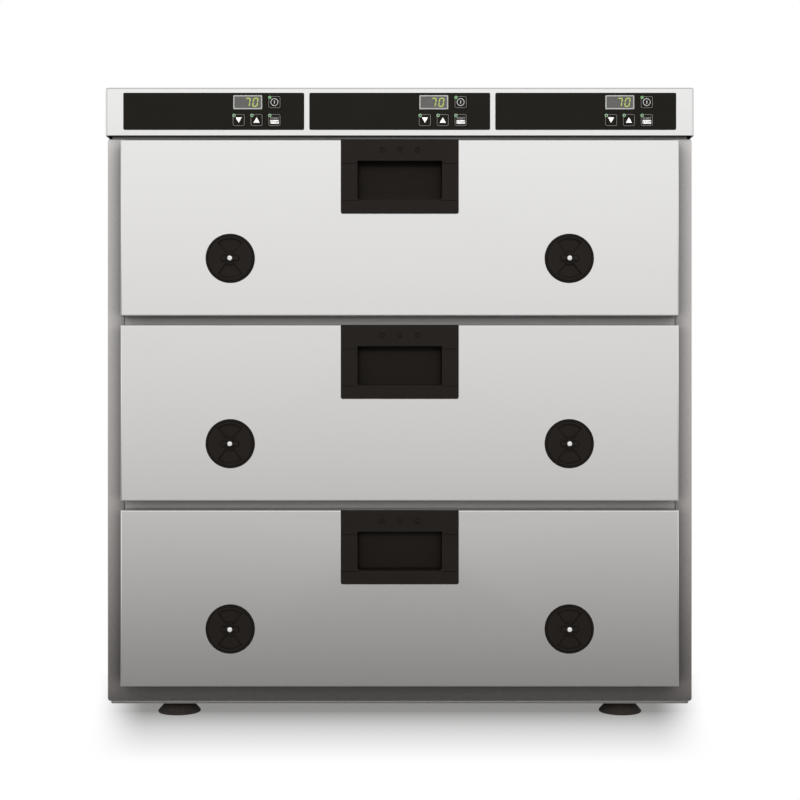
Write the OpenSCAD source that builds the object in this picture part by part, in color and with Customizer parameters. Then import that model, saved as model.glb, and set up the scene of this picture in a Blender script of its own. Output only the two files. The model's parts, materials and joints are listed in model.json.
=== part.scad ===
// Countertop warming drawer: three heated drawers with food pans under a low control head.
// Millimetres. +X is to the right seen from the front, +Y to the back, +Z up; the front faces -Y.
// Places along Y count from the casing's front plane, and set_on_origin() then centres the whole.

/* [Casing] */
// Width of the casing
casing_w = 600; // [590:1:680]
// Depth of the casing
casing_depth = 540; // [510:1:640]
// Thickness of the folded steel sheet
sheet = 1.2; // [0.8:0.1:1.6]
// Outside radius of the casing's folded corners
casing_r = 3; // [2:0.1:6]
// Width of the front stiles left and right of the drawers
stile_w = 17; // [14:0.5:20]
// Height of the casing below the lowest drawer front
bottom_rail_h = 18.3; // [12:0.1:40]
// Height of the casing above the top drawer front
top_rail_h = 3.8; // [3:0.1:20]
// Gap between a front lip of the casing and the nearest drawer edge
lip_gap = 0.3; // [0.1:0.1:0.7]
// Width of the casing's flange round the back
rear_flange = 14; // [12:0.5:25]
// Diameter of the back panel's screw holes
back_screw_d = 4.2; // [3:0.1:5]
// Distance from the casing's edge to the back panel's edge
back_panel_inset = 5; // [3:0.5:8]
// Diameter of the hole for wires between casing and control head
wire_hole_d = 25; // [15:1:40]
// Distance from the casing's back to the wire hole's centre
wire_hole_inset = 40; // [30:1:60]

/* [Base and feet] */
// Height of the base plate with its folded rim
base_h = 3.7; // [3:0.1:12]
// Thickness of the base plate
base_sheet = 1.5; // [1:0.1:2.5]
// Inset of the base plate at each side
base_inset_x = 2.5; // [2:0.5:12]
// Inset of the base plate at front and back
base_inset_y = 5; // [3:0.5:12]
// Height of the rubber feet
foot_h = 20; // [15:0.1:40]
// Diameter of a foot just above the floor
foot_d = 45; // [36:0.5:60]
// Diameter of a foot at its top
foot_top_d = 26; // [22:0.5:34]
// Chamfer round a foot's lower edge
foot_edge = 2; // [0.5:0.1:5]
// Distance of a foot's centre from the casing's side
foot_side_inset = 65; // [45:1:120]
// Distance of a foot's centre from the casing's front or back
foot_inset = 60; // [40:1:100]
// Diameter of the screw hole in a foot
foot_screw_d = 6.6; // [5.5:0.1:8.5]
// Diameter of the pocket for the foot's screw head
foot_pocket_d = 16; // [12:0.5:18]
// Thickness of rubber left above the pocket
foot_web = 7; // [5:0.5:10]

/* [Drawer fronts] */
// Height of a drawer front
drawer_h = 179; // [176:1:240]
// Gap between two drawer fronts
drawer_gap = 9; // [5:0.5:20]
// Distance from the casing's side to the edge of a drawer front
front_margin = 16.5; // [14:0.5:20]
// Depth of the folded drawer front
front_t = 12; // [8:0.5:20]
// How far a drawer front laps over its opening at top and bottom
bay_overlap = 5; // [4.8:0.1:9]
// Thickness of the silicone gasket, front to back
gasket_t = 5.7; // [3:0.1:8]
// Width of the gasket's bead
gasket_w = 4; // [2:0.1:4.2]
// Clearance between the closed gasket and its landing
gasket_gap = 0.3; // [0.1:0.1:1]
// How far the insulated plug reaches into the opening
plug_reach = 20; // [16:0.5:30]
// Clearance between the plug and its opening
plug_gap = 3; // [2:0.5:5]

/* [Pans and carriers] */
// Width of the food pan's rim, front to back
pan_d = 325; // [265:1:340]
// Gap between the floor of a bay and the food pan
pan_floor_gap = 11; // [6:0.5:90]
// Width of the pan's rim
pan_rim = 13; // [11:0.5:20]
// Thickness of the pan's sheet
pan_sheet = 1; // [0.6:0.1:1.2]
// Corner radius of the pan's body
pan_body_r = 48; // [20:1:60]
// Corner radius of the pan's rim
pan_rim_r = 20; // [8:1:30]
// How far each side of the pan draws in towards the bottom
pan_draft = 9; // [3:0.5:14]
// Clear height above the pan in its bay
pan_headroom = 8; // [5:0.5:9]
// Gap between the plug and the pan's rim
pan_front_gap = 8.8; // [4:0.1:15]
// Thickness of the carrier frame's sheet
arm_t = 1.5; // [1:0.1:2]
// How far the pan's rim stands out past the carrier arm
rim_over_arm = 9; // [6.5:0.1:9.5]
// Width of the ledges that carry the pan's rim
ledge_w = 9.5; // [7:0.1:11]
// Height of the carrier arms
arm_h = 56; // [53:1:90]

/* [Slides] */
// Total thickness of a telescopic slide
slide_t = 12.7; // [11:0.1:14]
// Height of the slide's outer rail
slide_h = 36; // [30:0.5:40]
// Room between the back end of the rails and the back of the bay
slide_back_gap = 52.4; // [48:0.1:90]
// Thickness of the rail sheet
rail_t = 1.2; // [0.8:0.1:1.4]
// Diameter of the slide's balls, which sets the gap between the rails
ball_d = 2.8; // [2:0.1:3.2]
// Sideways gap between two nested rails
rail_side_gap = 1.2; // [0.6:0.1:1.5]
// Height between the carrier's ledge and the slide
slide_drop = 15.5; // [12:0.5:30]
// Gap between the plug and the front end of the rails
rail_gap = 2.8; // [1:0.1:10]

/* [Heated bays] */
// Space between the casing's side and a bay, for insulation
side_space = 31.3; // [16:0.1:45]
// Depth of a bay behind the face frame
bay_depth = 468; // [430:1:480]
// Thickness of the bay liners
liner_t = 1; // [0.6:0.1:1.5]
// Diameter of the heating tube
heater_d = 6.5; // [5:0.1:8.5]
// Number of straight runs of each heating tube
heater_runs = 6; // [4:2:10]
// Distance between two straight runs
heater_pitch = 80; // [50:1:84]
// Distance of the heating tube's bends from the bay's front and back
heater_inset = 50; // [45:1:100]
// Diameter of a temperature probe
probe_d = 6; // [4:0.1:8]
// Length of a temperature probe inside the bay
probe_len = 40; // [20:1:45]
// Diameter of the probe's collar
probe_collar_d = 14; // [11:0.5:20]
// Thickness of the probe's collar
probe_collar_t = 3; // [2:0.1:5]
// Distance of a probe from the side of its bay
probe_inset = 68.7; // [40:0.1:150]
// Gap between an insulation board and the sheet next to it
wool_gap = 0.5; // [0.2:0.1:1.5]

/* [Handle] */
// Width of the handle's face
handle_w = 119.6; // [105:0.1:140]
// Height of the handle's face, down from the drawer's top edge
handle_h = 75.1; // [71:0.1:90]
// How far the handle's face stands on the drawer front
handle_t = 2; // [1.2:0.1:3]
// Corner radius at the bottom of the handle's face
handle_r = 2; // [0.5:0.1:6]
// Width of the finger recess
recess_w = 85.7; // [75:0.1:100]
// Height of the recess at the front
recess_h = 39.7; // [30:0.1:42]
// Distance from the drawer's top edge to the recess
recess_drop = 21.6; // [21:0.1:26]
// Corner radius of the recess
recess_r = 3; // [1:0.1:8]
// Depth of the recess
recess_depth = 24; // [15:0.5:26]
// How far the recess reaches up behind the handle's face
undercut_h = 5.4; // [2:0.1:5.6]
// Wall thickness of the recess
cup_wall = 2.5; // [1.5:0.1:2.6]
// Clearance round the recess in the drawer front
cup_gap = 0.3; // [0.1:0.1:0.6]
// Diameter of the handle screws' heads
handle_screw_d = 5; // [4:0.1:6]
// Diameter of the handle screws' shanks
handle_shank_d = 2.8; // [2:0.1:3]
// Distance from the drawer's top edge to the handle screws
handle_screw_drop = 11; // [10:0.1:11.4]
// Distance between two handle screws
handle_screw_pitch = 18; // [12:0.5:40]
// Length of a handle screw under its head
handle_screw_len = 8; // [5:0.5:10]

/* [Vents] */
// Diameter of a vent's flange
vent_d = 50; // [46:0.5:60]
// Distance of a vent's centre from the side edge of the drawer front
vent_inset = 111.5; // [75:0.5:150]
// Height of the vents above the drawer's bottom edge
vent_z = 58.5; // [45:0.5:110]
// How far the vent dial laps over the edge of the vent tube's bore
vent_lap = 2.2; // [1.5:0.1:4]
// Wall thickness of the vent tube
vent_wall = 1.6; // [1:0.1:2]
// Thickness of the vent's flange
vent_flange_t = 1; // [0.8:0.1:2]
// Height of the rim round the dial
vent_rim_t = 1.6; // [1.4:0.1:3]
// Width of the rim round the dial
vent_rim_w = 2.2; // [2:0.1:4.4]
// Clearance between the vent dial and its seat
dial_gap = 0.3; // [0.15:0.05:0.6]
// Thickness of the vent dial
dial_t = 1.3; // [1:0.1:2]
// How far the grip stands on the vent dial
grip_t = 1.8; // [1:0.1:5]
// Length of the grip's wings
grip_len = 17; // [13:0.5:30]
// Width of the grip at the wing tips
grip_tip_w = 5; // [4:0.1:11]
// Diameter of the dial's hub
hub_d = 8.5; // [7:0.1:12]
// Half the angle of one vent window, in degrees
window_angle = 38; // [20:1:43]
// Inner radius of a vent window
window_r = 6.5; // [6.2:0.1:9]
// Diameter of the pivot rivet's shank
rivet_d = 3; // [2.5:0.1:4]
// Diameter of the pivot rivet's head
rivet_head_d = 6; // [5.5:0.1:8]
// Thickness of the pivot rivet's head
rivet_head_t = 1.2; // [0.8:0.1:3]
// Clearance of shanks and stems in their holes
hole_gap = 0.2; // [0.1:0.05:0.4]

/* [Control head] */
// Gap between the casing and the cover, where the tray shows
shadow_gap = 3.1; // [2:0.1:6]
// Height of the cover
cover_h = 49.4; // [45:0.1:70]
// How far the cover stands out past the casing at each side
cover_over_x = 2; // [1:0.1:6]
// How far the cover stands out past the casing at the front
cover_over_front = 3; // [2.4:0.1:6]
// How far the cover stands out past the casing at the back
cover_over_back = 2; // [1.9:0.1:8]
// Outside radius of the cover's folded edges
cover_r = 3; // [2:0.1:6]
// Inset of the electronics tray from the casing's sides
tray_inset_x = 4; // [2:0.5:15]
// Inset of the electronics tray from the casing's front
tray_inset_front = 5; // [3:0.1:7]
// Height of the tray's low front lip
tray_lip_h = 9; // [5:0.5:10]
// Gap between the tray's back wall and the cover
tray_gap = 0.3; // [0.1:0.1:1]

/* [Controls] */
// Distance of the outer fascias from the casing's side
fascia_margin = 16.75; // [5:0.25:30]
// Gap between two fascias
fascia_spacing = 5.3; // [3:0.1:12]
// Height of one control fascia
fascia_h = 37.9; // [36:0.1:41]
// How far a fascia stands on the cover
fascia_t = 1; // [0.6:0.1:2]
// Corner radius of a fascia
fascia_r = 1.5; // [0.5:0.1:4]
// How far a fascia laps over its window in the cover
fascia_lap = 2.4; // [1.5:0.1:2.6]
// Depth of the fascia's block inside the window
fascia_block_t = 1.8; // [1.8:0.1:2.2]
// Clearance of the fascia's block in the window
fascia_gap = 0.2; // [0.1:0.05:0.5]
// Width and height of a key
key_w = 12.8; // [10:0.1:13.5]
// Corner radius of a key
key_r = 1.7; // [0.5:0.1:3]
// Distance between two keys' centres
key_pitch = 18.3; // [16.5:0.1:19]
// Distance of the right column of keys from the fascia's middle
key_right = 62.3; // [56:0.1:76]
// Distance of the keys from the fascia's upper and lower edge
key_edge_gap = 3.35; // [3.1:0.05:4.2]
// Clearance of a key in its hole
key_gap = 0.25; // [0.15:0.05:0.5]
// How far a key stands out of the fascia
key_stand = 0.6; // [0.2:0.1:2]
// How far the flange that keeps a key behind the fascia stands out round the key
key_flange_lap = 0.8; // [0.6:0.1:1]
// Thickness of the key's flange
key_flange_t = 0.8; // [0.5:0.1:1.2]
// Diameter of a key's stem
key_stem_d = 4; // [3:0.1:6]
// Travel left between a key and its switch
key_play = 0.7; // [0.6:0.1:1.2]
// Width of the display
display_w = 30; // [24:0.1:36]
// Height of the display
display_h = 14.8; // [12:0.1:16]
// How far the display lies behind the fascia's face
display_sink = 0.6; // [0.2:0.1:1.5]
// Width of a control board
board_w = 160; // [150:1:175]
// Height of a control board
board_h = 32; // [30:0.1:34]
// Thickness of the circuit boards
board_t = 1.6; // [1:0.1:2.4]
// Gap between the tray's lip and the control boards
board_gap = 2.8; // [1:0.1:8]
// Width of a switch body
switch_w = 6; // [4:0.1:8]
// Depth of a switch body with its plunger
switch_t = 4.7; // [3:0.1:4.9]

/* [Power parts] */
// Width of the power board
power_w = 200; // [160:1:260]
// Depth of the power board
power_d = 100; // [80:1:140]
// Distance from the power board to the tray's back wall
power_back = 60; // [30:1:120]
// Height of the power board's stand-offs
standoff_h = 6; // [4:0.5:10]
// Height of the transformer
transformer_h = 34; // [20:0.5:36]
// Distance of the cable gland's centre from the casing's side
gland_inset = 80; // [40:1:150]
// Thread diameter of the cable gland
gland_thread_d = 20; // [16:1:24]
// Width of the gland's hexagon over its corners
gland_hex_d = 27; // [26:0.5:32]
// Thickness of the gland's hexagon
gland_hex_t = 6; // [4:0.5:10]
// Length of the gland's dome
gland_dome_len = 13; // [8:0.5:20]
// Diameter of the gland's dome at the hexagon
gland_dome_d = 23; // [20:0.5:26]
// Diameter of the gland's dome at its mouth
gland_mouth_d = 17; // [15:0.5:20]
// Length of the gland's thread inside the cover
gland_thread_len = 10; // [8.5:0.5:18]
// Diameter of the gland's bore for the cable
gland_bore_d = 10; // [6:0.5:13]
// Thickness of the gland's lock nut
gland_nut_t = 4; // [3:0.5:5]

/* [Hidden] */
$fn = 64;
levels = ["upper", "middle", "lower"];
panels = ["left", "centre", "right"];
keys = ["power", "down", "up", "start"];

steel = [0.80, 0.80, 0.79];
dull_steel = [0.62, 0.63, 0.64];
black = [0.12, 0.12, 0.12];
rubber = [0.08, 0.08, 0.08];
silicone = [0.30, 0.30, 0.31];
wool = [0.86, 0.80, 0.62];
board_green = [0.10, 0.36, 0.22];

// Overshoot of a cut past the face that it opens
cut = 1;
// Clearance that keeps flat pieces out of the casing's rounded inside corners
corner_gap = 0.4 + 0.3 * casing_r;

// Heights
casing_z0 = foot_h + base_h;
drawer_z0 = casing_z0 + bottom_rail_h;
drawer_pitch = drawer_h + drawer_gap;
drawers_z1 = drawer_z0 + 2 * drawer_pitch + drawer_h;
casing_z1 = drawers_z1 + top_rail_h;
cover_z0 = casing_z1 + shadow_gap;
cover_z1 = cover_z0 + cover_h;
fascia_z = (cover_z0 + cover_z1) / 2;
function level_z(i) = drawer_z0 + (2 - i) * drawer_pitch;

// Heights in a drawer, from the bottom edge of its front
bay_z0 = bay_overlap;
bay_z1 = drawer_h - bay_overlap;
pan_z1 = bay_z1 - pan_headroom;
pan_z0 = bay_z0 + pan_floor_gap;
ledge_z1 = pan_z1 - pan_sheet;
slide_z = ledge_z1 - arm_t - slide_drop - slide_h / 2;
probe_z = slide_z;

// Half widths, from the casing inwards
front_x = casing_w / 2 - front_margin;
bay_x = casing_w / 2 - side_space;
plug_x = bay_x - plug_gap;
arm_x1 = bay_x - slide_t;
pan_w = 2 * (arm_x1 + rim_over_arm);

// Places and widths along X that follow what carries them
foot_x = casing_w / 2 - foot_side_inset;
gland_x = gland_inset - casing_w / 2;
probe_x = probe_inset - bay_x;
vent_x = front_x - vent_inset;
fascia_w = (casing_w - 2 * (fascia_margin + fascia_spacing)) / 3;
fascia_pitch = fascia_w + fascia_spacing;

// Depths, from the casing's front plane
gasket_y1 = sheet - gasket_gap;
gasket_y0 = gasket_y1 - gasket_t;
close_y0 = gasket_y0 - sheet;
face_y = close_y0 - front_t;
plug_y1 = gasket_y0 + plug_reach;
bay_y0 = 2 * sheet;
bay_y1 = bay_y0 + bay_depth;
rail_y0 = plug_y1 + rail_gap;
rail_y1 = bay_y1 - slide_back_gap;
pan_y0 = plug_y1 + pan_front_gap;
pan_y1 = pan_y0 + pan_d;
cover_y0 = -cover_over_front;
cover_y1 = casing_depth + cover_over_back;
tray_y1 = cover_y1 - sheet - tray_gap;
fascia_y0 = cover_y0 - fascia_t;
fascia_y1 = cover_y0 + fascia_block_t;
board_y = tray_inset_front + sheet + board_gap;
switch_y = board_y - switch_t;

// Vent places from the drawer's face
vent_seat_y = face_y - vent_flange_t;
dial_y1 = vent_seat_y - dial_gap;
dial_y0 = dial_y1 - dial_t;
grip_y0 = dial_y0 - grip_t;
vent_rim_r = vent_d / 2 - vent_rim_w;
dial_r = vent_rim_r - dial_gap;
vent_bore_r = dial_r - vent_lap;
vent_tube_r = vent_bore_r + vent_wall;

// Reach of the whole along Y
front_end = grip_y0 - rivet_head_t;
back_end = cover_y1 + gland_hex_t + gland_dome_len;

// A box between two opposite corners
module block(low, high) {
    translate(low) cube(high - low);
}

// Stands a flat outline, drawn in X and Z, between two depths
module upright(y0, y1) {
    translate([0, y1, 0]) rotate([90, 0, 0]) linear_extrude(y1 - y0) children();
}

// A round bar along Y
module rod_y(r, y0, y1) {
    translate([0, y1, 0]) rotate([90, 0, 0]) cylinder(r = r, h = y1 - y0);
}

// A centred rectangle with true round corners
module round_rect(w, h, r) {
    square([w - 2 * r, h], center = true);
    square([w, h - 2 * r], center = true);
    for (x = [-1, 1], y = [-1, 1]) translate([x * (w / 2 - r), y * (h / 2 - r)]) circle(r);
}

// A rectangle with round corners between two heights, centred sideways
module round_panel(w, z0, z1, r) {
    translate([0, (z0 + z1) / 2]) round_rect(w, z1 - z0, r);
}

module both_sides() {
    children();
    mirror([1, 0, 0]) children();
}

module on_level(i) {
    translate([0, 0, level_z(i)]) children();
}

module each_level() {
    for (i = [0:2]) on_level(i) children();
}

module on_panel(i) {
    translate([(i - 1) * fascia_pitch, 0, fascia_z]) children();
}

// Centres the whole along Y
module set_on_origin() {
    translate([0, -(front_end + back_end) / 2, 0]) children();
}

// The casing's outline, drawn in by a distance
module casing_outline(inset = 0) {
    round_panel(casing_w - 2 * inset, casing_z0 + inset, casing_z1 - inset, casing_r - min(inset, sheet));
}

// Screws round the back panel
module back_screws() {
    z_low = casing_z0 + (back_panel_inset + rear_flange) / 2;
    z_high = casing_z1 - (back_panel_inset + rear_flange) / 2;
    x_edge = casing_w / 2 - (back_panel_inset + rear_flange) / 2;
    for (x = [-1, 0, 1], z = [z_low, z_high]) translate([x * x_edge, 0, z]) children();
    for (x = [-1, 1], k = [1, 2]) translate([x * x_edge, 0, z_low + k * (z_high - z_low) / 3]) children();
}

module wire_hole(z0, z1) {
    translate([0, casing_depth - wire_hole_inset, z0]) cylinder(d = wire_hole_d, h = z1 - z0);
}

module outer_casing() {
    lip_z0 = drawer_z0 - lip_gap;
    lip_z1 = drawers_z1 + lip_gap;
    color(steel) difference() {
        union() {
            upright(0, casing_depth) difference() {
                casing_outline();
                casing_outline(sheet);
            }
            upright(0, sheet) difference() {
                casing_outline();
                translate([stile_w - casing_w / 2, lip_z0]) square([casing_w - 2 * stile_w, lip_z1 - lip_z0]);
            }
            upright(casing_depth - sheet, casing_depth) difference() {
                casing_outline();
                casing_outline(rear_flange);
            }
        }
        back_screws() rod_y(back_screw_d / 2, casing_depth - sheet - cut, casing_depth + cut);
        wire_hole(casing_z1 - sheet - cut, casing_z1 + cut);
    }
}

module back_panel() {
    color(steel) difference() {
        upright(casing_depth, casing_depth + sheet)
            round_panel(casing_w - 2 * back_panel_inset, casing_z0 + back_panel_inset,
                casing_z1 - back_panel_inset, casing_r);
        back_screws() rod_y(back_screw_d / 2, casing_depth - cut, casing_depth + sheet + cut);
    }
}

module each_foot() {
    for (x = [-1, 1], y = [foot_inset, casing_depth - foot_inset]) translate([x * foot_x, y, 0]) children();
}

module base_plate() {
    x1 = casing_w / 2 - base_inset_x;
    y0 = base_inset_y;
    y1 = casing_depth - base_inset_y;
    color(dull_steel) difference() {
        block([-x1, y0, foot_h], [x1, y1, casing_z0]);
        block([-x1 + base_sheet, y0 + base_sheet, foot_h + base_sheet],
            [x1 - base_sheet, y1 - base_sheet, casing_z0 + cut]);
        each_foot() cylinder(d = foot_screw_d, h = casing_z0);
    }
}

module rubber_feet() {
    color(rubber) each_foot() difference() {
        rotate_extrude() polygon([
            [0, 0], [foot_d / 2 - foot_edge, 0], [foot_d / 2, foot_edge],
            [foot_top_d / 2, foot_h], [0, foot_h]
        ]);
        translate([0, 0, -cut]) cylinder(d = foot_pocket_d, h = foot_h - foot_web + cut);
        cylinder(d = foot_screw_d, h = foot_h + cut);
    }
}

module face_frame() {
    color(dull_steel) difference() {
        upright(sheet, bay_y0) translate([0, (casing_z0 + casing_z1) / 2])
            square([casing_w - 2 * (sheet + corner_gap), casing_z1 - casing_z0 - 2 * (sheet + corner_gap)],
                center = true);
        each_level() block([-bay_x, sheet - cut, bay_z0], [bay_x, bay_y0 + cut, bay_z1]);
    }
}

module bay_liners() {
    color(steel) each_level() difference() {
        block([-bay_x - liner_t, bay_y0, bay_z0 - liner_t],
            [bay_x + liner_t, bay_y1 + liner_t, bay_z1 + liner_t]);
        block([-bay_x, bay_y0 - cut, bay_z0], [bay_x, bay_y1, bay_z1]);
        translate([probe_x, 0, probe_z]) rod_y(probe_d / 2 + hole_gap, bay_y1 - cut, bay_y1 + liner_t + cut);
    }
}

module insulation() {
    inside_x = casing_w / 2 - casing_r;
    inside_z0 = casing_z0 + sheet;
    inside_z1 = casing_z1 - sheet - wool_gap;
    liner_x1 = bay_x + liner_t;
    liner_y1 = bay_y1 + liner_t;
    board_y0 = bay_y0 + wool_gap;
    heater_z0 = drawer_z0 + bay_z0 - liner_t - heater_d;
    color(wool) {
        both_sides() block([liner_x1 + wool_gap, board_y0, inside_z0],
            [inside_x, liner_y1, inside_z1]);
        block([-liner_x1, board_y0, inside_z0], [liner_x1, liner_y1, heater_z0 - wool_gap]);
        difference() {
            block([-inside_x, liner_y1 + wool_gap, inside_z0],
                [inside_x, casing_depth - sheet - wool_gap, inside_z1]);
            each_level() translate([probe_x, 0, probe_z])
                rod_y(probe_collar_d / 2 + wool_gap, liner_y1, casing_depth - sheet);
        }
    }
}

// A rolled channel with its web at one side and its lips towards the other
module channel(web_x, lip_x, h) {
    x0 = min(web_x, lip_x);
    x1 = max(web_x, lip_x);
    open_x0 = web_x < lip_x ? x0 + rail_t : x0 - cut;
    open_x1 = web_x < lip_x ? x1 + cut : x1 - rail_t;
    difference() {
        translate([x0, -h / 2]) square([x1 - x0, h]);
        translate([open_x0, rail_t - h / 2]) square([open_x1 - open_x0, h - 2 * rail_t]);
    }
}

// The heights of the three nested rails leave a ball's width between their lips
intermediate_rail_h = slide_h - 2 * (rail_t + ball_d);
inner_rail_h = intermediate_rail_h - 2 * (rail_t + ball_d);

module rail_pair(web_x, lip_x, h) {
    color(dull_steel) both_sides() translate([0, 0, slide_z])
        upright(rail_y0, rail_y1) channel(web_x, lip_x, h);
}

module fixed_rails() {
    each_level() rail_pair(bay_x, arm_x1 + rail_t + rail_side_gap, slide_h);
}

module intermediate_rails() {
    rail_pair(bay_x - rail_t - rail_side_gap, arm_x1 + rail_t + rail_side_gap, intermediate_rail_h);
}

module inner_rails() {
    rail_pair(arm_x1, bay_x - 2 * (rail_t + rail_side_gap) - rail_side_gap, inner_rail_h);
}

module heating_element() {
    r = heater_d / 2;
    y0 = bay_y0 + heater_inset;
    y1 = bay_y1 - heater_inset;
    x0 = -(heater_runs - 1) * heater_pitch / 2;
    translate([0, 0, bay_z0 - liner_t - r]) {
        for (k = [0:heater_runs - 1]) {
            end_run = k == 0 || k == heater_runs - 1;
            translate([x0 + k * heater_pitch, 0, 0]) rod_y(r, y0, end_run ? bay_y1 : y1);
        }
        for (k = [0:heater_runs - 2]) {
            at_front = k % 2 == 0;
            translate([x0 + (k + 0.5) * heater_pitch, at_front ? y0 : y1, 0])
                rotate([0, 0, at_front ? 180 : 0]) rotate_extrude(angle = 180)
                    translate([heater_pitch / 2, 0]) circle(r);
        }
    }
}

module heating_elements() {
    color(dull_steel) each_level() heating_element();
}

module temperature_probes() {
    tail = 12;
    color(steel) each_level() translate([probe_x, 0, probe_z]) {
        rod_y(probe_d / 2, bay_y1 - probe_len, bay_y1 + liner_t + tail);
        rod_y(probe_collar_d / 2, bay_y1 - probe_collar_t, bay_y1);
    }
}

// The gland's hole through a wall between two depths
module gland_hole(y0, y1) {
    translate([gland_x, 0, fascia_z]) rod_y(gland_thread_d / 2 + hole_gap, y0 - cut, y1 + cut);
}

module electronics_tray() {
    x1 = casing_w / 2 - tray_inset_x;
    y0 = tray_inset_front;
    z1 = cover_z1 - sheet;
    color(dull_steel) difference() {
        block([-x1, y0, casing_z1], [x1, tray_y1, z1]);
        block([-x1 + sheet, y0 + sheet, casing_z1 + sheet], [x1 - sheet, tray_y1 - sheet, z1 + cut]);
        block([-x1 - cut, y0 - cut, casing_z1 + tray_lip_h], [x1 + cut, y0 + sheet + cut, z1 + cut]);
        gland_hole(tray_y1 - sheet, tray_y1);
        wire_hole(casing_z1 - cut, casing_z1 + sheet + cut);
    }
}

module top_cover() {
    w = casing_w + 2 * cover_over_x;
    color(steel) difference() {
        translate([0, (cover_y0 + cover_y1) / 2, cover_z0]) linear_extrude(cover_h)
            round_rect(w, cover_y1 - cover_y0, cover_r);
        translate([0, (cover_y0 + cover_y1) / 2, cover_z0 - cut]) linear_extrude(cover_h - sheet + cut)
            round_rect(w - 2 * sheet, cover_y1 - cover_y0 - 2 * sheet, cover_r - sheet);
        for (i = [0:2]) on_panel(i) upright(cover_y0 - cut, cover_y0 + sheet + cut)
            square([fascia_w - 2 * fascia_lap, fascia_h - 2 * fascia_lap], center = true);
        gland_hole(cover_y1 - sheet, cover_y1);
    }
}

// Height of the upper keys above the fascia's middle, and of the lower ones below it
key_rise = (fascia_h - key_w) / 2 - key_edge_gap;

// Place of a key's centre on its fascia
function key_place(key) =
    key == "power" ? [key_right, key_rise] :
    key == "start" ? [key_right, -key_rise] :
    key == "up" ? [key_right - key_pitch, -key_rise] : [key_right - 2 * key_pitch, -key_rise];
display_place = [key_right - 1.5 * key_pitch, key_rise];

module at_key(key) {
    translate([key_place(key)[0], 0, key_place(key)[1]]) children();
}

module at_display() {
    translate([display_place[0], 0, display_place[1]]) children();
}

module control_fascias() {
    block_w = fascia_w - 2 * (fascia_lap + fascia_gap);
    block_h = fascia_h - 2 * (fascia_lap + fascia_gap);
    color(black) for (i = [0:2]) on_panel(i) difference() {
        union() {
            upright(fascia_y0, cover_y0) round_rect(fascia_w, fascia_h, fascia_r);
            upright(cover_y0 - fascia_t / 2, fascia_y1) square([block_w, block_h], center = true);
        }
        for (key = keys) at_key(key) upright(fascia_y0 - cut, fascia_y1 + cut)
            round_rect(key_w + 2 * key_gap, key_w + 2 * key_gap, key_r + key_gap);
        at_display() upright(fascia_y0 - cut, fascia_y1 + cut) square([display_w, display_h], center = true);
    }
}

module key_cap() {
    flange_y0 = fascia_y1 + key_gap;
    flange_w = key_w + 2 * key_flange_lap;
    color(black) {
        upright(fascia_y0 - key_stand, flange_y0 + key_flange_t) round_rect(key_w, key_w, key_r);
        upright(flange_y0, flange_y0 + key_flange_t) round_rect(flange_w, flange_w, key_r);
        rod_y(key_stem_d / 2, flange_y0, switch_y - key_play);
    }
}

module control_board() {
    bracket_w = 12;
    bracket_foot = 14;
    bracket_x = board_w / 2 - 2 * bracket_w;
    floor_z = casing_z1 + sheet - fascia_z;
    upright(board_y, board_y + board_t) square([board_w, board_h], center = true);
    for (key = keys) at_key(key) upright(switch_y, board_y + board_t / 2) square(switch_w, center = true);
    at_display() upright(fascia_y0 + display_sink, board_y + board_t / 2)
        square([display_w - 2 * hole_gap, display_h - 2 * hole_gap], center = true);
    for (x = [-bracket_x, bracket_x]) translate([x - bracket_w / 2, board_y + board_t, floor_z]) {
        cube([bracket_w, sheet, board_h / 2 - floor_z]);
        cube([bracket_w, bracket_foot, sheet]);
    }
}

// The power board stands on four posts and carries three relays and a transformer
module power_board() {
    relay = [22, 18, 20];
    post_r = 4;
    post_inset = 8;
    transformer_w = 52;
    y1 = tray_y1 - sheet - power_back;
    y0 = y1 - power_d;
    floor_z = casing_z1 + sheet;
    top_z = floor_z + standoff_h + board_t;
    block([-power_w / 2, y0, floor_z + standoff_h], [power_w / 2, y1, top_z]);
    for (x = [-1, 1], y = [y0 + post_inset, y1 - post_inset])
        translate([x * (power_w / 2 - post_inset), y, floor_z])
            cylinder(r = post_r, h = standoff_h + board_t / 2);
    for (k = [0:2]) translate([k * (relay[0] + post_r), y0 + 2 * post_inset, top_z - board_t / 2])
        cube([relay[0], relay[1], relay[2]]);
    translate([2 * post_inset - power_w / 2, y0 + 2 * post_inset, top_z - board_t / 2])
        cube([transformer_w, power_d - 4 * post_inset, transformer_h]);
}

module controller_boards() {
    color(board_green) {
        for (i = [0:2]) on_panel(i) control_board();
        power_board();
    }
}

module cable_gland() {
    inside_y = tray_y1 - sheet;
    hex_y1 = cover_y1 + gland_hex_t;
    color(black) translate([gland_x, 0, fascia_z]) {
        difference() {
            union() {
                upright(cover_y1, hex_y1) circle(d = gland_hex_d, $fn = 6);
                rod_y(gland_thread_d / 2, inside_y - gland_thread_len, cover_y1 + gland_hex_t / 2);
                translate([0, hex_y1, 0]) rotate([-90, 0, 0]) 
                    cylinder(d1 = gland_dome_d, d2 = gland_mouth_d, h = gland_dome_len);
            }
            rod_y(gland_bore_d / 2, inside_y - gland_thread_len - cut, back_end + cut);
        }
        difference() {
            upright(inside_y - gland_nut_t, inside_y) circle(d = gland_hex_d, $fn = 6);
            rod_y(gland_thread_d / 2 + hole_gap / 2, inside_y - gland_nut_t - cut, inside_y + cut);
        }
    }
}

// Places inside a drawer front
cup_x = recess_w / 2 + cup_wall;
cup_z0 = drawer_h - recess_drop - recess_h - cup_wall;
cup_z1 = drawer_h - recess_drop + undercut_h + cup_wall;
screw_z = drawer_h - handle_screw_drop;

module each_vent() {
    for (x = [-1, 1]) translate([x * vent_x, 0, vent_z]) children();
}

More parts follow.
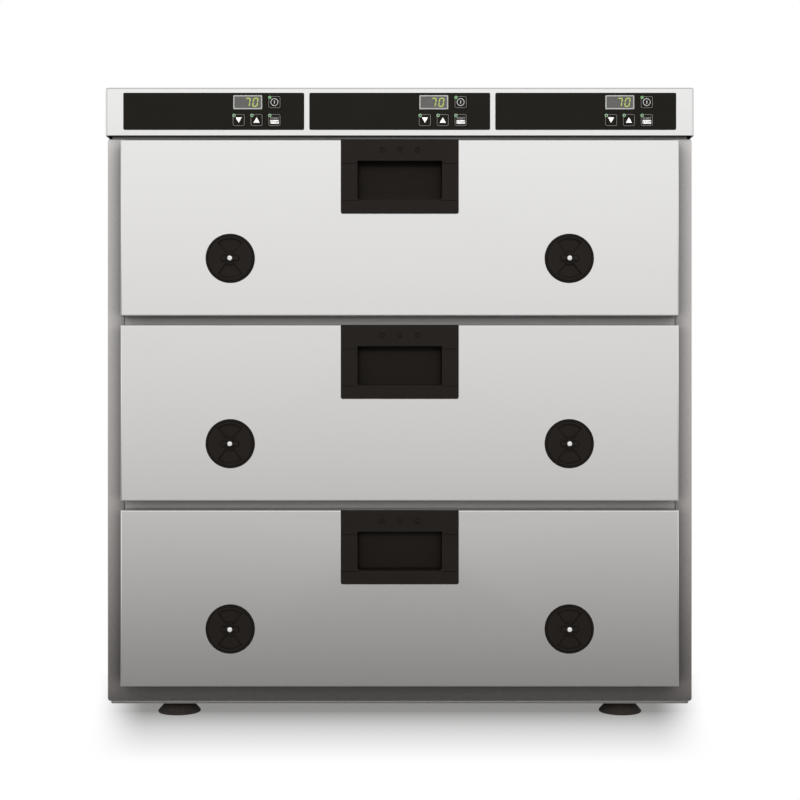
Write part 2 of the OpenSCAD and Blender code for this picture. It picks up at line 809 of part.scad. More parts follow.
module each_handle_screw() {
    for (k = [-1, 0, 1]) translate([k * handle_screw_pitch, 0, screw_z]) children();
}

module drawer_front() {
    color(steel) difference() {
        block([-front_x, face_y, 0], [front_x, close_y0, drawer_h]);
        block([-front_x + sheet, face_y + sheet, sheet], [front_x - sheet, close_y0 + cut, drawer_h - sheet]);
        block([-cup_x - cup_gap, face_y - cut, cup_z0 - cup_gap],
            [cup_x + cup_gap, face_y + sheet + cut, cup_z1 + cup_gap]);
        each_vent() rod_y(vent_tube_r + hole_gap, face_y - cut, face_y + sheet + cut);
        each_handle_screw() rod_y(handle_shank_d / 2 + hole_gap, face_y - cut, face_y + sheet + cut);
    }
}

// The carrier: a plate that closes the front, its plug, two arms, ledges for the pan and a rear tie
module drawer_frame() {
    plug_z0 = bay_z0 + plug_gap;
    plug_z1 = bay_z1 - plug_gap;
    arm_x0 = arm_x1 - arm_t;
    ledge_z0 = ledge_z1 - arm_t;
    ledge_x1 = arm_x0 + ledge_w;
    bar_y0 = pan_y1 - ledge_w;
    color(dull_steel) difference() {
        union() {
            block([-front_x, close_y0, 0], [front_x, gasket_y0, drawer_h]);
            block([-plug_x, close_y0, plug_z0], [plug_x, plug_y1, plug_z1]);
            both_sides() {
                block([arm_x0, plug_y1 - sheet, ledge_z1 - arm_h], [arm_x1, rail_y1, ledge_z1]);
                block([arm_x0, plug_y1 - sheet, ledge_z0], [ledge_x1, rail_y1, ledge_z1]);
            }
            block([-arm_x1, plug_y1 - sheet, ledge_z0], [arm_x1, pan_y0 + ledge_w, ledge_z1]);
            block([-arm_x1, bar_y0, ledge_z0], [arm_x1, pan_y1, ledge_z1]);
            block([-arm_x1, bar_y0, ledge_z1 - arm_h / 2], [arm_x1, bar_y0 + arm_t, ledge_z1]);
            block([-arm_x1, rail_y1 - arm_t, ledge_z1 - arm_h], [arm_x1, rail_y1, ledge_z1]);
        }
        block([-plug_x + sheet, close_y0 - cut, plug_z0 + sheet],
            [plug_x - sheet, plug_y1 - sheet, plug_z1 - sheet]);
        each_vent() rod_y(vent_tube_r + hole_gap, plug_y1 - sheet - cut, plug_y1 + cut);
    }
}

module drawer_gasket() {
    edge = (bay_overlap - gasket_w) / 2;
    outer_x = bay_x + bay_overlap - edge;
    color(silicone) upright(gasket_y0, gasket_y1) translate([0, drawer_h / 2]) difference() {
        square([2 * outer_x, drawer_h - 2 * edge], center = true);
        square([2 * (outer_x - gasket_w), drawer_h - 2 * (edge + gasket_w)], center = true);
    }
}

module handle() {
    recess_z0 = drawer_h - recess_drop - recess_h;
    recess_z1 = drawer_h - recess_drop;
    plate_y0 = face_y - handle_t;
    recess_y1 = plate_y0 + recess_depth;
    color(black) difference() {
        union() {
            upright(plate_y0, face_y) {
                round_panel(handle_w, drawer_h - handle_h, drawer_h, handle_r);
                translate([-handle_w / 2, drawer_h - handle_h / 2]) square([handle_w, handle_h / 2]);
            }
            block([-cup_x, face_y - handle_t / 2, cup_z0], [cup_x, recess_y1 + cup_wall, cup_z1]);
        }
        upright(plate_y0 - cut, recess_y1) round_panel(recess_w, recess_z0, recess_z1, recess_r);
        upright(face_y, recess_y1) round_panel(recess_w, recess_z0, recess_z1 + undercut_h, recess_r);
        each_handle_screw() {
            rod_y(handle_shank_d / 2 + hole_gap, plate_y0 - cut, face_y + handle_screw_len + cut);
            rod_y(handle_screw_d / 2 + hole_gap, plate_y0 - cut, face_y - handle_t / 2);
        }
    }
}

// Two windows of a vent, as sectors about the X axis
module vent_windows() {
    r = vent_bore_r - hole_gap;
    rise = r * tan(window_angle);
    difference() {
        intersection() {
            circle(r);
            for (s = [-1, 1]) polygon([[0, 0], [s * r, rise], [s * r, -rise]]);
        }
        circle(window_r);
    }
}

module vent_base() {
    difference() {
        union() {
            rod_y(vent_d / 2, vent_seat_y, face_y);
            rod_y(vent_tube_r, vent_seat_y, plug_y1 + sheet);
            difference() {
                rod_y(vent_d / 2, vent_seat_y - vent_rim_t, face_y);
                rod_y(vent_rim_r, vent_seat_y - vent_rim_t - cut, face_y + cut);
            }
        }
        rod_y(vent_bore_r, face_y + vent_flange_t, plug_y1 + sheet + cut);
        upright(vent_seat_y - cut, face_y + vent_flange_t + cut) vent_windows();
        rod_y(rivet_d / 2 + hole_gap, vent_seat_y - cut, face_y + vent_flange_t + cut);
    }
}

module vent_bases() {
    color(black) each_vent() vent_base();
}

module vent_dial(side) {
    color(black) translate([side * vent_x, 0, vent_z]) difference() {
        union() {
            rod_y(dial_r, dial_y0, dial_y1);
            rod_y(hub_d / 2, grip_y0, dial_y1);
            upright(grip_y0, dial_y0) for (s = [-1, 1]) polygon([
                [0, rivet_d / 2], [0, -rivet_d / 2],
                [s * grip_len / 2, -grip_tip_w / 2], [s * grip_len / 2, grip_tip_w / 2]
            ]);
        }
        upright(dial_y0 - cut, dial_y1 + cut) rotate(90) vent_windows();
        rod_y(rivet_d / 2 + hole_gap, grip_y0 - cut, dial_y1 + cut);
    }
}

module front_fasteners() {
    tail_y = face_y + vent_flange_t;
    head_y = face_y - handle_t / 2;
    color(steel) {
        each_vent() {
            rod_y(rivet_d / 2, front_end, tail_y + rivet_head_t);
            rod_y(rivet_head_d / 2, front_end, grip_y0);
            rod_y(rivet_head_d / 2, tail_y, tail_y + rivet_head_t);
        }
        each_handle_screw() {
            rod_y(handle_screw_d / 2, face_y - handle_t + hole_gap, head_y);
            rod_y(handle_shank_d / 2, head_y, head_y + handle_screw_len);
        }
    }
}

// A drawn pan wall: the body's outer form, drawn in by a distance
module pan_body(inset, z0, z1) {
    w = pan_w - 2 * (pan_rim + inset);
    d = pan_d - 2 * (pan_rim + inset);
    skin = 0.01;
    hull() {
        translate([0, 0, z1 - skin]) linear_extrude(skin) round_rect(w, d, pan_body_r - inset, $fn = 32);
        translate([0, 0, z0]) linear_extrude(skin)
            round_rect(w - 2 * pan_draft, d - 2 * pan_draft, pan_body_r - inset, $fn = 32);
    }
}

module food_pan() {
    color(steel) translate([0, (pan_y0 + pan_y1) / 2, 0]) difference() {
        union() {
            translate([0, 0, ledge_z1]) linear_extrude(pan_sheet) round_rect(pan_w, pan_d, pan_rim_r);
            pan_body(0, pan_z0, pan_z1);
        }
        pan_body(pan_sheet, pan_z0 + pan_sheet, pan_z1 + cut);
    }
}

module on_drawer(i) {
    set_on_origin() on_level(i) children();
}

set_on_origin() outer_casing();
set_on_origin() back_panel();
set_on_origin() base_plate();
set_on_origin() rubber_feet();
set_on_origin() face_frame();
set_on_origin() bay_liners();
set_on_origin() insulation();
set_on_origin() fixed_rails();
set_on_origin() heating_elements();
set_on_origin() temperature_probes();
set_on_origin() electronics_tray();
set_on_origin() top_cover();
set_on_origin() control_fascias();
set_on_origin() controller_boards();
set_on_origin() cable_gland();

for (i = [0:2]) {
    level = levels[i];
    on_drawer(i) drawer_front();
    on_drawer(i) drawer_frame();
    on_drawer(i) drawer_gasket();
    on_drawer(i) handle();
    on_drawer(i) vent_bases();
    on_drawer(i) front_fasteners();
    on_drawer(i) inner_rails();
    on_drawer(i) intermediate_rails();
    on_drawer(i) food_pan();
    on_drawer(i) vent_dial(-1);
    on_drawer(i) vent_dial(1);
}

for (i = [0:2], key = keys) {
    set_on_origin() on_panel(i) at_key(key) key_cap();
}
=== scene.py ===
"""Dresses the warming cabinet: folded steel sheets, moulded black fittings, slides, pans and lit controls.

Metres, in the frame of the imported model: +X to the right seen from the front, the front faces -Y, +Z up.
"""

import json
import math

import bmesh
import bpy
import numpy as np
from mathutils import Euler, Matrix, Vector

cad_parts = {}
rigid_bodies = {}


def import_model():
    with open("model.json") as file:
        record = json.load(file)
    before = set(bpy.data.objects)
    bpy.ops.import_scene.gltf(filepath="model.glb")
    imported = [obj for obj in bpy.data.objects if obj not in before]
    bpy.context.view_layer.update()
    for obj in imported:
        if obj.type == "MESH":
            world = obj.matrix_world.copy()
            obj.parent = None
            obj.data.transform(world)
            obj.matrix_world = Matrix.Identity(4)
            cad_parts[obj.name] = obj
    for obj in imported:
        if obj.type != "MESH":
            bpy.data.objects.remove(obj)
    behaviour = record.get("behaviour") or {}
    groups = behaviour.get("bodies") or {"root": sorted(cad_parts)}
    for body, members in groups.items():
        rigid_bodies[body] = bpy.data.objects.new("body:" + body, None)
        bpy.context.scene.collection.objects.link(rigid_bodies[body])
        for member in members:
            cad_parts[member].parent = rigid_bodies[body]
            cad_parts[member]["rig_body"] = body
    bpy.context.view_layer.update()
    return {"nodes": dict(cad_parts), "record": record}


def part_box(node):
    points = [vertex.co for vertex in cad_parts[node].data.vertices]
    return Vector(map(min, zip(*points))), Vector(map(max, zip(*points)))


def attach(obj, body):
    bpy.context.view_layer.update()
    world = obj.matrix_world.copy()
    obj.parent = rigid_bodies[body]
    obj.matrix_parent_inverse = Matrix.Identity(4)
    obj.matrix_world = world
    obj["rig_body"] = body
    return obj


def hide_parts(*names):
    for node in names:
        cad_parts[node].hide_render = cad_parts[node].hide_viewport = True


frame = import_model()

MM = 0.001
LEVELS = ("upper", "middle", "lower")
PANELS = ("left", "centre", "right")
KEYS = ("power", "down", "up", "start")

NODE_SLOT = {row["node"]: row["material_slot"] for row in frame["record"]["subparts"]}
NODE_BODY = {name: node["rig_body"] for name, node in frame["nodes"].items()}

SHARP_EDGE = math.radians(50)
FACES_UP, FACES_DOWN, FACES_FRONT, FACES_BACK, FACES_RIGHT, FACES_LEFT = (
    Euler((math.radians(about_x), math.radians(about_y), 0))
    for about_x, about_y in ((0, 0), (180, 0), (90, 0), (-90, 0), (0, 90), (0, -90)))
SIDES = (("left", -1, FACES_LEFT), ("right", 1, FACES_RIGHT))


def mm(*sizes):
    return tuple(size * MM for size in sizes)


def points_mm(*points):
    return [mm(*point) for point in points]


# Nodes


def feed(node, inputs):
    """Fills a node's inputs by name or number: a socket is linked, a value is set."""
    for name, value in inputs.items():
        if isinstance(value, bpy.types.NodeSocket):
            node.id_data.links.new(value, node.inputs[name])
        else:
            node.inputs[name].default_value = value


def wired(tree, kind, inputs=None, **settings):
    """The outputs of a new node with its settings and its inputs."""
    node = tree.nodes.new(kind)
    for name, value in settings.items():
        setattr(node, name, value)
    feed(node, inputs or {})
    return node.outputs


def maths(tree, operation, *values):
    return wired(tree, "ShaderNodeMath", dict(enumerate(values)), operation=operation)[0]


def respan(tree, value, old, new=(0.0, 1.0), ease="LINEAR"):
    """A value carried over from one span to another."""
    ends = {"Value": value, "From Min": old[0], "From Max": old[1], "To Min": new[0], "To Max": new[1]}
    return wired(tree, "ShaderNodeMapRange", ends, interpolation_type=ease)[0]


def blend(tree, share, low, high, way="MIX"):
    """A share of the way from one colour to another, or from the first to their product."""
    return wired(tree, "ShaderNodeMix", {0: share, 6: low, 7: high}, data_type="RGBA", blend_type=way)[2]


def noise(tree, place, scale, detail=2.0, roughness=0.5):
    wants = {"Vector": place, "Scale": scale, "Detail": detail, "Roughness": roughness}
    return wired(tree, "ShaderNodeTexNoise", wants)["Fac"]


# Materials


def new_material(name, rough, metallic=0.0, specular=0.5):
    """A new material with its node tree and shader, and the object's own coordinates."""
    material = bpy.data.materials.new(name)
    material.use_nodes = True
    tree = material.node_tree
    shader = tree.nodes["Principled BSDF"]
    feed(shader, {"Metallic": metallic, "Roughness": rough, "Specular IOR Level": specular})
    return material, tree, shader, wired(tree, "ShaderNodeTexCoord")["Object"]


def shade(colour, factor):
    return tuple(min(1.0, c * factor) for c in colour) + (1.0,)


def vary_colour(shader, amount, colour, spread, corners=None):
    """The base colour swings by a share of itself as amount goes from 0 to 1, and, if asked, is darkened by painted
    shade in corners and recesses.

    Corners are (reach, strength): how far a corner's walls count, and how strongly the painted shade darkens.
    """
    tree = shader.id_data
    result = blend(tree, amount, shade(colour, 1 - spread), shade(colour, 1 + spread))
    if corners:
        reach, strength = corners
        # Painted shade: an occlusion node darkens the base colour where walls close in.
        openness = wired(tree, "ShaderNodeAmbientOcclusion", {"Distance": reach}, samples=8)["AO"]
        result = blend(tree, 1.0, result, maths(tree, "POWER", openness, strength), "MULTIPLY")
    feed(shader, {"Base Color": result})


def vary_roughness(shader, amount, rough, spread):
    ends = (rough - spread, rough + spread)
    feed(shader, {"Roughness": respan(shader.id_data, amount, (0.0, 1.0), ends)})


def raise_bump(shader, height, depth):
    """Relief of a real depth in metres."""
    bump = wired(shader.id_data, "ShaderNodeBump", {"Height": height, "Strength": 1.0, "Distance": depth})[0]
    feed(shader, {"Normal": bump})


def brushed_steel(name, colour, rough, corners=None):
    """Sheet steel ground along X, or along Y on the faces that look sideways."""
    material, tree, shader, place = new_material(name, rough, 1.0)
    side_facing, long, fine = 0.7, 7.0, 1400.0
    normal = wired(tree, "ShaderNodeNewGeometry")["Normal"]
    across = wired(tree, "ShaderNodeSeparateXYZ", {0: normal})["X"]
    is_side = maths(tree, "GREATER_THAN", maths(tree, "ABSOLUTE", across), side_facing)
    along_x, along_y = (wired(tree, "ShaderNodeMapping", {"Vector": place, "Scale": scale})[0]
                        for scale in ((long, fine, fine), (fine, long, fine)))
    ground = wired(tree, "ShaderNodeMix", {0: is_side, 4: along_x, 5: along_y}, data_type="VECTOR")[1]
    streaks = noise(tree, ground, 1.0, detail=3.0, roughness=0.6)
    clouds = noise(tree, place, 9.0, detail=3.0)
    mean = maths(tree, "MULTIPLY", maths(tree, "ADD", streaks, clouds), 0.5)
    # Corners, when given, add painted shade in corners and recesses.
    vary_colour(shader, mean, colour, 0.012, corners)
    vary_roughness(shader, streaks, rough, 0.01)
    raise_bump(shader, streaks, 0.0006 * MM)
    return material


def rolled_steel(name, colour, rough, metallic=1.0, scale=60.0, depth=0.01 * MM):
    """Dull rolled or drawn metal with a soft mottle."""
    material, tree, shader, place = new_material(name, rough, metallic)
    mottle = noise(tree, place, scale, detail=4.0, roughness=0.65)
    vary_colour(shader, mottle, colour, 0.08)
    vary_roughness(shader, mottle, rough, 0.08)
    raise_bump(shader, noise(tree, place, scale * 12), depth)
    return material


def zinc_plate(name, colour, rough):
    """Bright zinc with crystal flakes, as on drawer slides."""
    material, tree, shader, place = new_material(name, rough, 0.95)
    flakes = wired(tree, "ShaderNodeTexVoronoi", {"Vector": place, "Scale": 260.0})["Color"]
    level = wired(tree, "ShaderNodeSeparateColor", {0: flakes})[0]
    vary_colour(shader, level, colour, 0.07)
    vary_roughness(shader, level, rough, 0.05)
    raise_bump(shader, noise(tree, place, 1500.0), 0.004 * MM)
    return material


def moulded_plastic(name, colour, rough, specular=0.3, depth=0.02 * MM, corners=None):
    """Moulded plastic with a fine spark-eroded grain."""
    material, tree, shader, place = new_material(name, rough, specular=specular)
    grains = noise(tree, place, 1400.0, detail=3.0, roughness=0.7)
    # Corners, when given, add painted shade in corners and recesses.
    vary_colour(shader, noise(tree, place, 45.0), colour, 0.12, corners)
    vary_roughness(shader, grains, rough, 0.07)
    raise_bump(shader, grains, depth)
    return material


def matt_rubber(name, colour, rough):
    material, tree, shader, place = new_material(name, rough, specular=0.12)
    dust = noise(tree, place, 180.0, detail=5.0, roughness=0.7)
    vary_colour(shader, dust, colour, 0.3)
    vary_roughness(shader, dust, rough, 0.1)
    raise_bump(shader, noise(tree, place, 900.0, detail=3.0), 0.05 * MM)
    return material


def wool_fibres(name, colour, rough):
    material, tree, shader, place = new_material(name, rough, specular=0.1)
    laid = wired(tree, "ShaderNodeMapping", {"Vector": place, "Scale": (300.0, 300.0, 1300.0)})[0]
    fibres = noise(tree, laid, 1.0, detail=6.0, roughness=0.75)
    vary_colour(shader, fibres, colour, 0.22)
    raise_bump(shader, fibres, 0.6 * MM)
    return material


def circuit_laminate(name, colour, rough):
    material, tree, shader, place = new_material(name, rough)
    wants = {"Vector": place, "Scale": 160.0, "Mortar Size": 0.06}
    for title, grey in (("Color1", 0.2), ("Color2", 0.4), ("Mortar", 1.0)):
        wants[title] = (grey, grey, grey, 1.0)
    tracks = wired(tree, "ShaderNodeTexBrick", wants)["Color"]
    level = wired(tree, "ShaderNodeSeparateColor", {0: tracks})[0]
    vary_colour(shader, level, colour, 0.3)
    raise_bump(shader, level, 0.03 * MM)
    return material


def ink(name, colour, rough):
    """Screen print, slightly uneven."""
    material, tree, shader, place = new_material(name, rough, specular=0.3)
    vary_colour(shader, noise(tree, place, 2500.0), colour, 0.06)
    return material


def glow(name, colour, strength):
    """A lit lens, a little uneven over its face."""
    material, tree, shader, place = new_material(name, 0.3, specular=0.4)
    lit = blend(tree, noise(tree, place, 900.0, detail=1.0), shade(colour, 0.9), shade(colour, 1.1))
    feed(shader, {"Base Color": shade(colour, 0.2), "Emission Color": lit, "Emission Strength": strength})
    return material


GRIP_BLACK = (0.0068, 0.0055, 0.0045)
FASCIA_BLACK = (0.0054, 0.0046, 0.0034)
# Each has its colour, and its roughness or, where it glows, its strength.
LOOKS = (
    # casing_steel: painted shade darkens it in corners and recesses, and its colour, a little darker than
    # front_steel, is painted shade on the recessed stiles too.
    (brushed_steel, "casing_steel", (0.74, 0.718, 0.705), 0.20, {"corners": (0.04, 2.6)}),
    (brushed_steel, "front_steel", (0.80, 0.797, 0.793), 0.26),
    # sheet_steel: painted shade darkens it in corners and recesses, such as the rails between the drawers and the
    # tray lip under the cover.
    (brushed_steel, "sheet_steel", (0.60, 0.59, 0.58), 0.38, {"corners": (0.015, 0.8)}),
    # base_steel: a darker copy of sheet_steel for the base plate; the darker colour is painted shade on the low
    # strip.
    (brushed_steel, "base_steel", (0.46, 0.445, 0.435), 0.38),
    (rolled_steel, "liner_steel", (0.66, 0.66, 0.65), 0.28),
    (zinc_plate, "rail_steel", (0.72, 0.73, 0.74), 0.25),
    (rolled_steel, "pan_steel", (0.74, 0.735, 0.72), 0.22, {"scale": 25.0, "depth": 0.003 * MM}),
    (rolled_steel, "probe_steel", (0.68, 0.68, 0.67), 0.2),
    (rolled_steel, "heater_tube", (0.30, 0.29, 0.28), 0.5, {"metallic": 0.8}),
    (rolled_steel, "fastener_steel", (0.86, 0.86, 0.85), 0.3, {"scale": 400.0}),
    (rolled_steel, "rivet_aluminium", (0.42, 0.42, 0.415), 0.42, {"metallic": 0.25, "scale": 500.0}),
    (wool_fibres, "mineral_wool", (0.52, 0.44, 0.27), 0.95),
    (matt_rubber, "rubber", (0.020, 0.017, 0.015), 0.75),
    (matt_rubber, "silicone", (0.055, 0.056, 0.06), 0.55),
    # handle_plastic: painted shade darkens it in recesses, grooves and along edges, on the handles and the vents.
    (moulded_plastic, "handle_plastic", GRIP_BLACK, 0.45, {"specular": 0.07, "corners": (0.0025, 1.2)}),
    (moulded_plastic, "gland_plastic", GRIP_BLACK, 0.5),
    (moulded_plastic, "key_plastic", FASCIA_BLACK, 0.4, {"specular": 0.06, "depth": 0.01 * MM}),
    (moulded_plastic, "fascia_plastic", FASCIA_BLACK, 0.36, {"specular": 0.06, "depth": 0.006 * MM}),
    (moulded_plastic, "dark_screw", (0.006, 0.0055, 0.005), 0.6, {"specular": 0.1}),
    (moulded_plastic, "bezel_paint", (0.195, 0.195, 0.19), 0.4, {"depth": 0.01 * MM}),
    (moulded_plastic, "display_lens", (0.045, 0.043, 0.040), 0.25, {"depth": 0.004 * MM}),
    (circuit_laminate, "circuit_board", (0.035, 0.16, 0.07), 0.35),
    (ink, "white_ink", (0.50, 0.495, 0.49), 0.5),
    (ink, "grey_ink", (0.074, 0.072, 0.068), 0.5),
    (ink, "pale_ink", (0.17, 0.17, 0.165), 0.5),
    (ink, "soft_ink", (0.27, 0.27, 0.265), 0.5),
    (ink, "dark_ink", (0.008, 0.008, 0.008), 0.5),
    (glow, "digit_glow", (0.42, 0.51, 0.11), 0.66),
    (glow, "lamp_glow", (0.295, 0.50, 0.315), 0.62),
    (glow, "power_glow", (0.195, 0.41, 0.17), 0.55),
)
FINISH = {name: maker(name, colour, level, **dict(*more)) for maker, name, colour, level, *more in LOOKS}


# Meshes


def new_object(name, data):
    thing = bpy.data.objects.new(name, data)
    bpy.context.scene.collection.objects.link(thing)
    return thing


def taken_mesh(thing):
    """The plain mesh that an object comes to with its modifiers; the object goes."""
    mesh = bpy.data.meshes.new_from_object(thing.evaluated_get(bpy.context.evaluated_depsgraph_get()))
    bpy.data.objects.remove(thing)
    return mesh


def mesh_of(form, name):
    """A mesh made of a form, which goes."""
    mesh = bpy.data.meshes.new(name)
    form.to_mesh(mesh)
    form.free()
    return mesh


def form_of(mesh):
    """A form made of a mesh, which goes."""
    form = bmesh.new()
    form.from_mesh(mesh)
    bpy.data.meshes.remove(mesh)
    return form


def joined(forms):
    """Several forms as one."""
    whole = bmesh.new()
    for form in forms:
        mesh = mesh_of(form, "part")
        whole.from_mesh(mesh)
        bpy.data.meshes.remove(mesh)
    return whole


def merge(form, gap=0.002 * MM):
    bmesh.ops.remove_doubles(form, verts=form.verts, dist=gap)


def face_outwards(form):
    bmesh.ops.recalc_face_normals(form, faces=form.faces)


def node_form(node):
    """The merged form of a CAD node, with flat stretches as single faces."""
    form = bmesh.new()
    form.from_mesh(frame["nodes"][node].data)
    merge(form)
    bmesh.ops.dissolve_limit(form, angle_limit=math.radians(0.4), verts=form.verts, edges=form.edges)
    return form


def planes_of(edge, low, high):
    """The faces of a box that an edge lies in, such as {"-y", "+z"}."""
    slack = 0.03 * MM
    found = set()
    for axis, letter in enumerate("xyz"):
        for sign, face in (("-", low[axis]), ("+", high[axis])):
            if all(abs(v.co[axis] - face) < slack for v in edge.verts):
                found.add(sign + letter)
    return found


def soften(form, bend=None, bend_radius=0.0, edge_radius=0.2 * MM, bend_steps=4):
    """Rounds the edges that bend() picks with their own radius, then breaks every other sharp edge."""
    rounds = [(lambda edge: True, edge_radius, 2)]
    if bend:
        rounds.insert(0, (bend, bend_radius, bend_steps))
    for picks, radius, steps in rounds:
        edges = [e for e in form.edges if len(e.link_faces) == 2 and e.is_convex
                 and e.calc_face_angle(0) > SHARP_EDGE and picks(e)]
        if edges:
            bmesh.ops.bevel(form, geom=edges, offset=radius, offset_type="OFFSET", segments=steps, profile=0.5,
                            affect="EDGES", clamp_overlap=False)


def even_normals(mesh):
    """Corner normals that keep flat sheets flat and let bends flow.

    Each corner averages, by area, the faces at its point that turn less than a sharp edge from its own face.
    """
    corners, faces = len(mesh.loops), len(mesh.polygons)
    point = np.empty(corners, np.int32)
    mesh.loops.foreach_get("vertex_index", point)
    sides, area, facing = np.empty(faces, np.int32), np.empty(faces), np.empty(faces * 3)
    mesh.polygons.foreach_get("loop_total", sides)
    mesh.polygons.foreach_get("area", area)
    mesh.polygons.foreach_get("normal", facing)
    face = np.repeat(np.arange(faces), sides)
    facing = facing.reshape(-1, 3)[face]
    weight = facing * area[face][:, None]
    by_point = np.argsort(point, kind="stable")
    count = np.bincount(point, minlength=len(mesh.vertices))
    first = np.cumsum(count) - count
    total = np.zeros((corners, 3))
    for step in range(count.max()):
        has_more = count[point] > step
        other = by_point[np.minimum(first[point] + step, corners - 1)]
        near = (facing * facing[other]).sum(1) > math.cos(SHARP_EDGE)
        total += weight[other] * (has_more & near)[:, None]
    length = np.linalg.norm(total, axis=1)[:, None]
    mesh.normals_split_custom_set(np.where(length > 0, total / np.maximum(length, 1e-30), facing))


def paint(mesh, finish):
    mesh.materials.clear()
    mesh.materials.append(FINISH[finish])


def make_piece(form, name, body, finish, replaces=()):
    """Turns a form, or a mesh, into a finished piece that rides on a body."""
    mesh = mesh_of(form, name) if isinstance(form, bmesh.types.BMesh) else form
    mesh.name = name
    piece = new_object(name, mesh)
    paint(mesh, finish)
    mesh.polygons.foreach_set("use_smooth", [True] * len(mesh.polygons))
    even_normals(mesh)
    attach(piece, body)
    if replaces:
        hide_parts(*replaces)
    return piece


def stand_in(form, node, finish=None):
    """A form that takes a node's place on its body, in the node's finish or another."""
    slot = NODE_SLOT[node]
    make_piece(form, node + "_made", NODE_BODY[node], finish or slot, [node])


def dress(node, bend=None, bend_radius=0.0, edge=0.2 * MM, form=None, finish=None):
    """A node's own form, or one made from it, with rounded bends and broken edges."""
    form = form or node_form(node)
    soften(form, bend, bend_radius, edge)
    stand_in(form, node, finish)


def skin(form, rings):
    """Covers the strips between rings of points, where a ring of one point is a pole."""
    for low, high in zip(rings, rings[1:]):
        count = max(len(low), len(high))
        for k in range(count):
            n = (k + 1) % count
            corners = [low[k % len(low)], low[n % len(low)], high[n % len(high)], high[k % len(high)]]
            form.faces.new(list(dict.fromkeys(corners)))


def turned(profile, sides=32):
    """A form turned about +Z from points (radius, height), closed where the radius is 0 or where the ends meet."""
    form = bmesh.new()
    is_ring = profile[0] == profile[-1]
    rings = []
    for radius, height in profile[:-1] if is_ring else profile:
        turns = [math.tau * k / sides for k in range(sides)] if radius else [0.0]
        rings.append([form.verts.new((radius * math.cos(t), radius * math.sin(t), height)) for t in turns])
    skin(form, rings + rings[:1] if is_ring else rings)
    face_outwards(form)
    return form


def arc(centre_x, centre_y, radius, start, end, steps=5):
    """Points of an arc, from one angle to another in degrees."""
    angles = [math.radians(start + (end - start) * k / steps) for k in range(steps + 1)]
    return [(centre_x + radius * math.cos(a), centre_y + radius * math.sin(a)) for a in angles]


def circle(radius):
    return arc(0, 0, radius, 0, 360, 32)[:-1]


def rounded_outline(width, height, radius, steps=6):
    """Points round a rectangle with round corners, counter-clockwise, centred on 0."""
    x, y = width / 2 - radius, height / 2 - radius
    corners = ((x, y, 0), (-x, y, 90), (-x, -y, 180), (x, -y, 270))
    return [point for cx, cy, start in corners for point in arc(cx, cy, radius, start, start + 90, steps)]


def plate(outline, thickness, hole=None):
    """A flat plate in X and Y from 0 up to its thickness, with an optional hole of as many points."""
    form = bmesh.new()
    lines = [(outline, 0.0), (outline, thickness)] + ([(hole, thickness), (hole, 0.0)] if hole else [])
    rings = [[form.verts.new((x, y, z)) for x, y in line] for line, z in lines]
    if hole:
        rings.append(rings[0])
    else:
        form.faces.new(rings[1])
        form.faces.new(rings[0][::-1])
    skin(form, rings)
    return form


def placed(form, spot, turn):
    """Moves a form made about 0 to its spot; +Z of the form goes to where turn points."""
    matrix = Matrix.Translation(spot) @ turn.to_matrix().to_4x4()
    bmesh.ops.transform(form, matrix=matrix, verts=form.verts)
    return form


def box_form(low, high):
    form = bmesh.new()
    low, high = Vector(low), Vector(high)
    matrix = Matrix.Translation((low + high) / 2) @ Matrix.Diagonal((*(high - low), 1.0))
    bmesh.ops.create_cube(form, size=1.0, matrix=matrix)
    return form


def carved(form, cutters):
    """The form with other forms cut out of it."""
    block = new_object("block", mesh_of(form, "block"))
    tool = new_object("tool", mesh_of(joined(cutters), "tool"))
    cut = block.modifiers.new("cut", "BOOLEAN")
    cut.operation, cut.solver, cut.object = "DIFFERENCE", "EXACT", tool
    result = form_of(taken_mesh(block))
    bpy.data.objects.remove(tool)
    merge(result)
    return result


# Patterns that repeat, as Geometry Nodes


def new_tree(name, **inputs):
    """A geometry tree with its named inputs, such as Radius="Float", and what its group input gives."""
    tree = bpy.data.node_groups.new(name, "GeometryNodeTree")
    for title, kind in {"Geometry": "Geometry", **inputs, "Finish": "Material"}.items():
        tree.interface.new_socket(title, in_out="INPUT", socket_type="NodeSocket" + kind)
    tree.interface.new_socket("Geometry", in_out="OUTPUT", socket_type="NodeSocketGeometry")
    return tree, wired(tree, "NodeGroupInput")


def close_tree(tree, given, geometry):
    """Ends a tree in real geometry with its material."""
    real = wired(tree, "GeometryNodeRealizeInstances", {0: geometry})[0]
    painted = wired(tree, "GeometryNodeSetMaterial", {"Geometry": real, "Material": given["Finish"]})[0]
    wired(tree, "NodeGroupOutput", {0: painted})
    return tree


def pieces_on_points_tree():
    """A copy of one piece on each point, turned one way, each spun by a fixed random angle."""
    tree, given = new_tree("pieces_on_points", Piece="Object", Turn="Vector", Spin="Float")
    piece = wired(tree, "GeometryNodeObjectInfo", {"Object": given["Piece"]})["Geometry"]
    spin = wired(tree, "FunctionNodeRandomValue", {3: given["Spin"], "Seed": 7}, data_type="FLOAT")[1]
    about_z = wired(tree, "ShaderNodeCombineXYZ", {"Z": spin})[0]
    base, extra = (wired(tree, "FunctionNodeEulerToRotation", {0: turn})[0] for turn in (given["Turn"], about_z))
    whole = wired(tree, "FunctionNodeRotateRotation", {0: base, 1: extra}, rotation_space="LOCAL")[0]
    points = wired(tree, "GeometryNodeMeshToPoints", {0: given["Geometry"]})[0]
    copies = wired(tree, "GeometryNodeInstanceOnPoints", {"Points": points, "Instance": piece, "Rotation": whole})
    return close_tree(tree, given, copies[0])


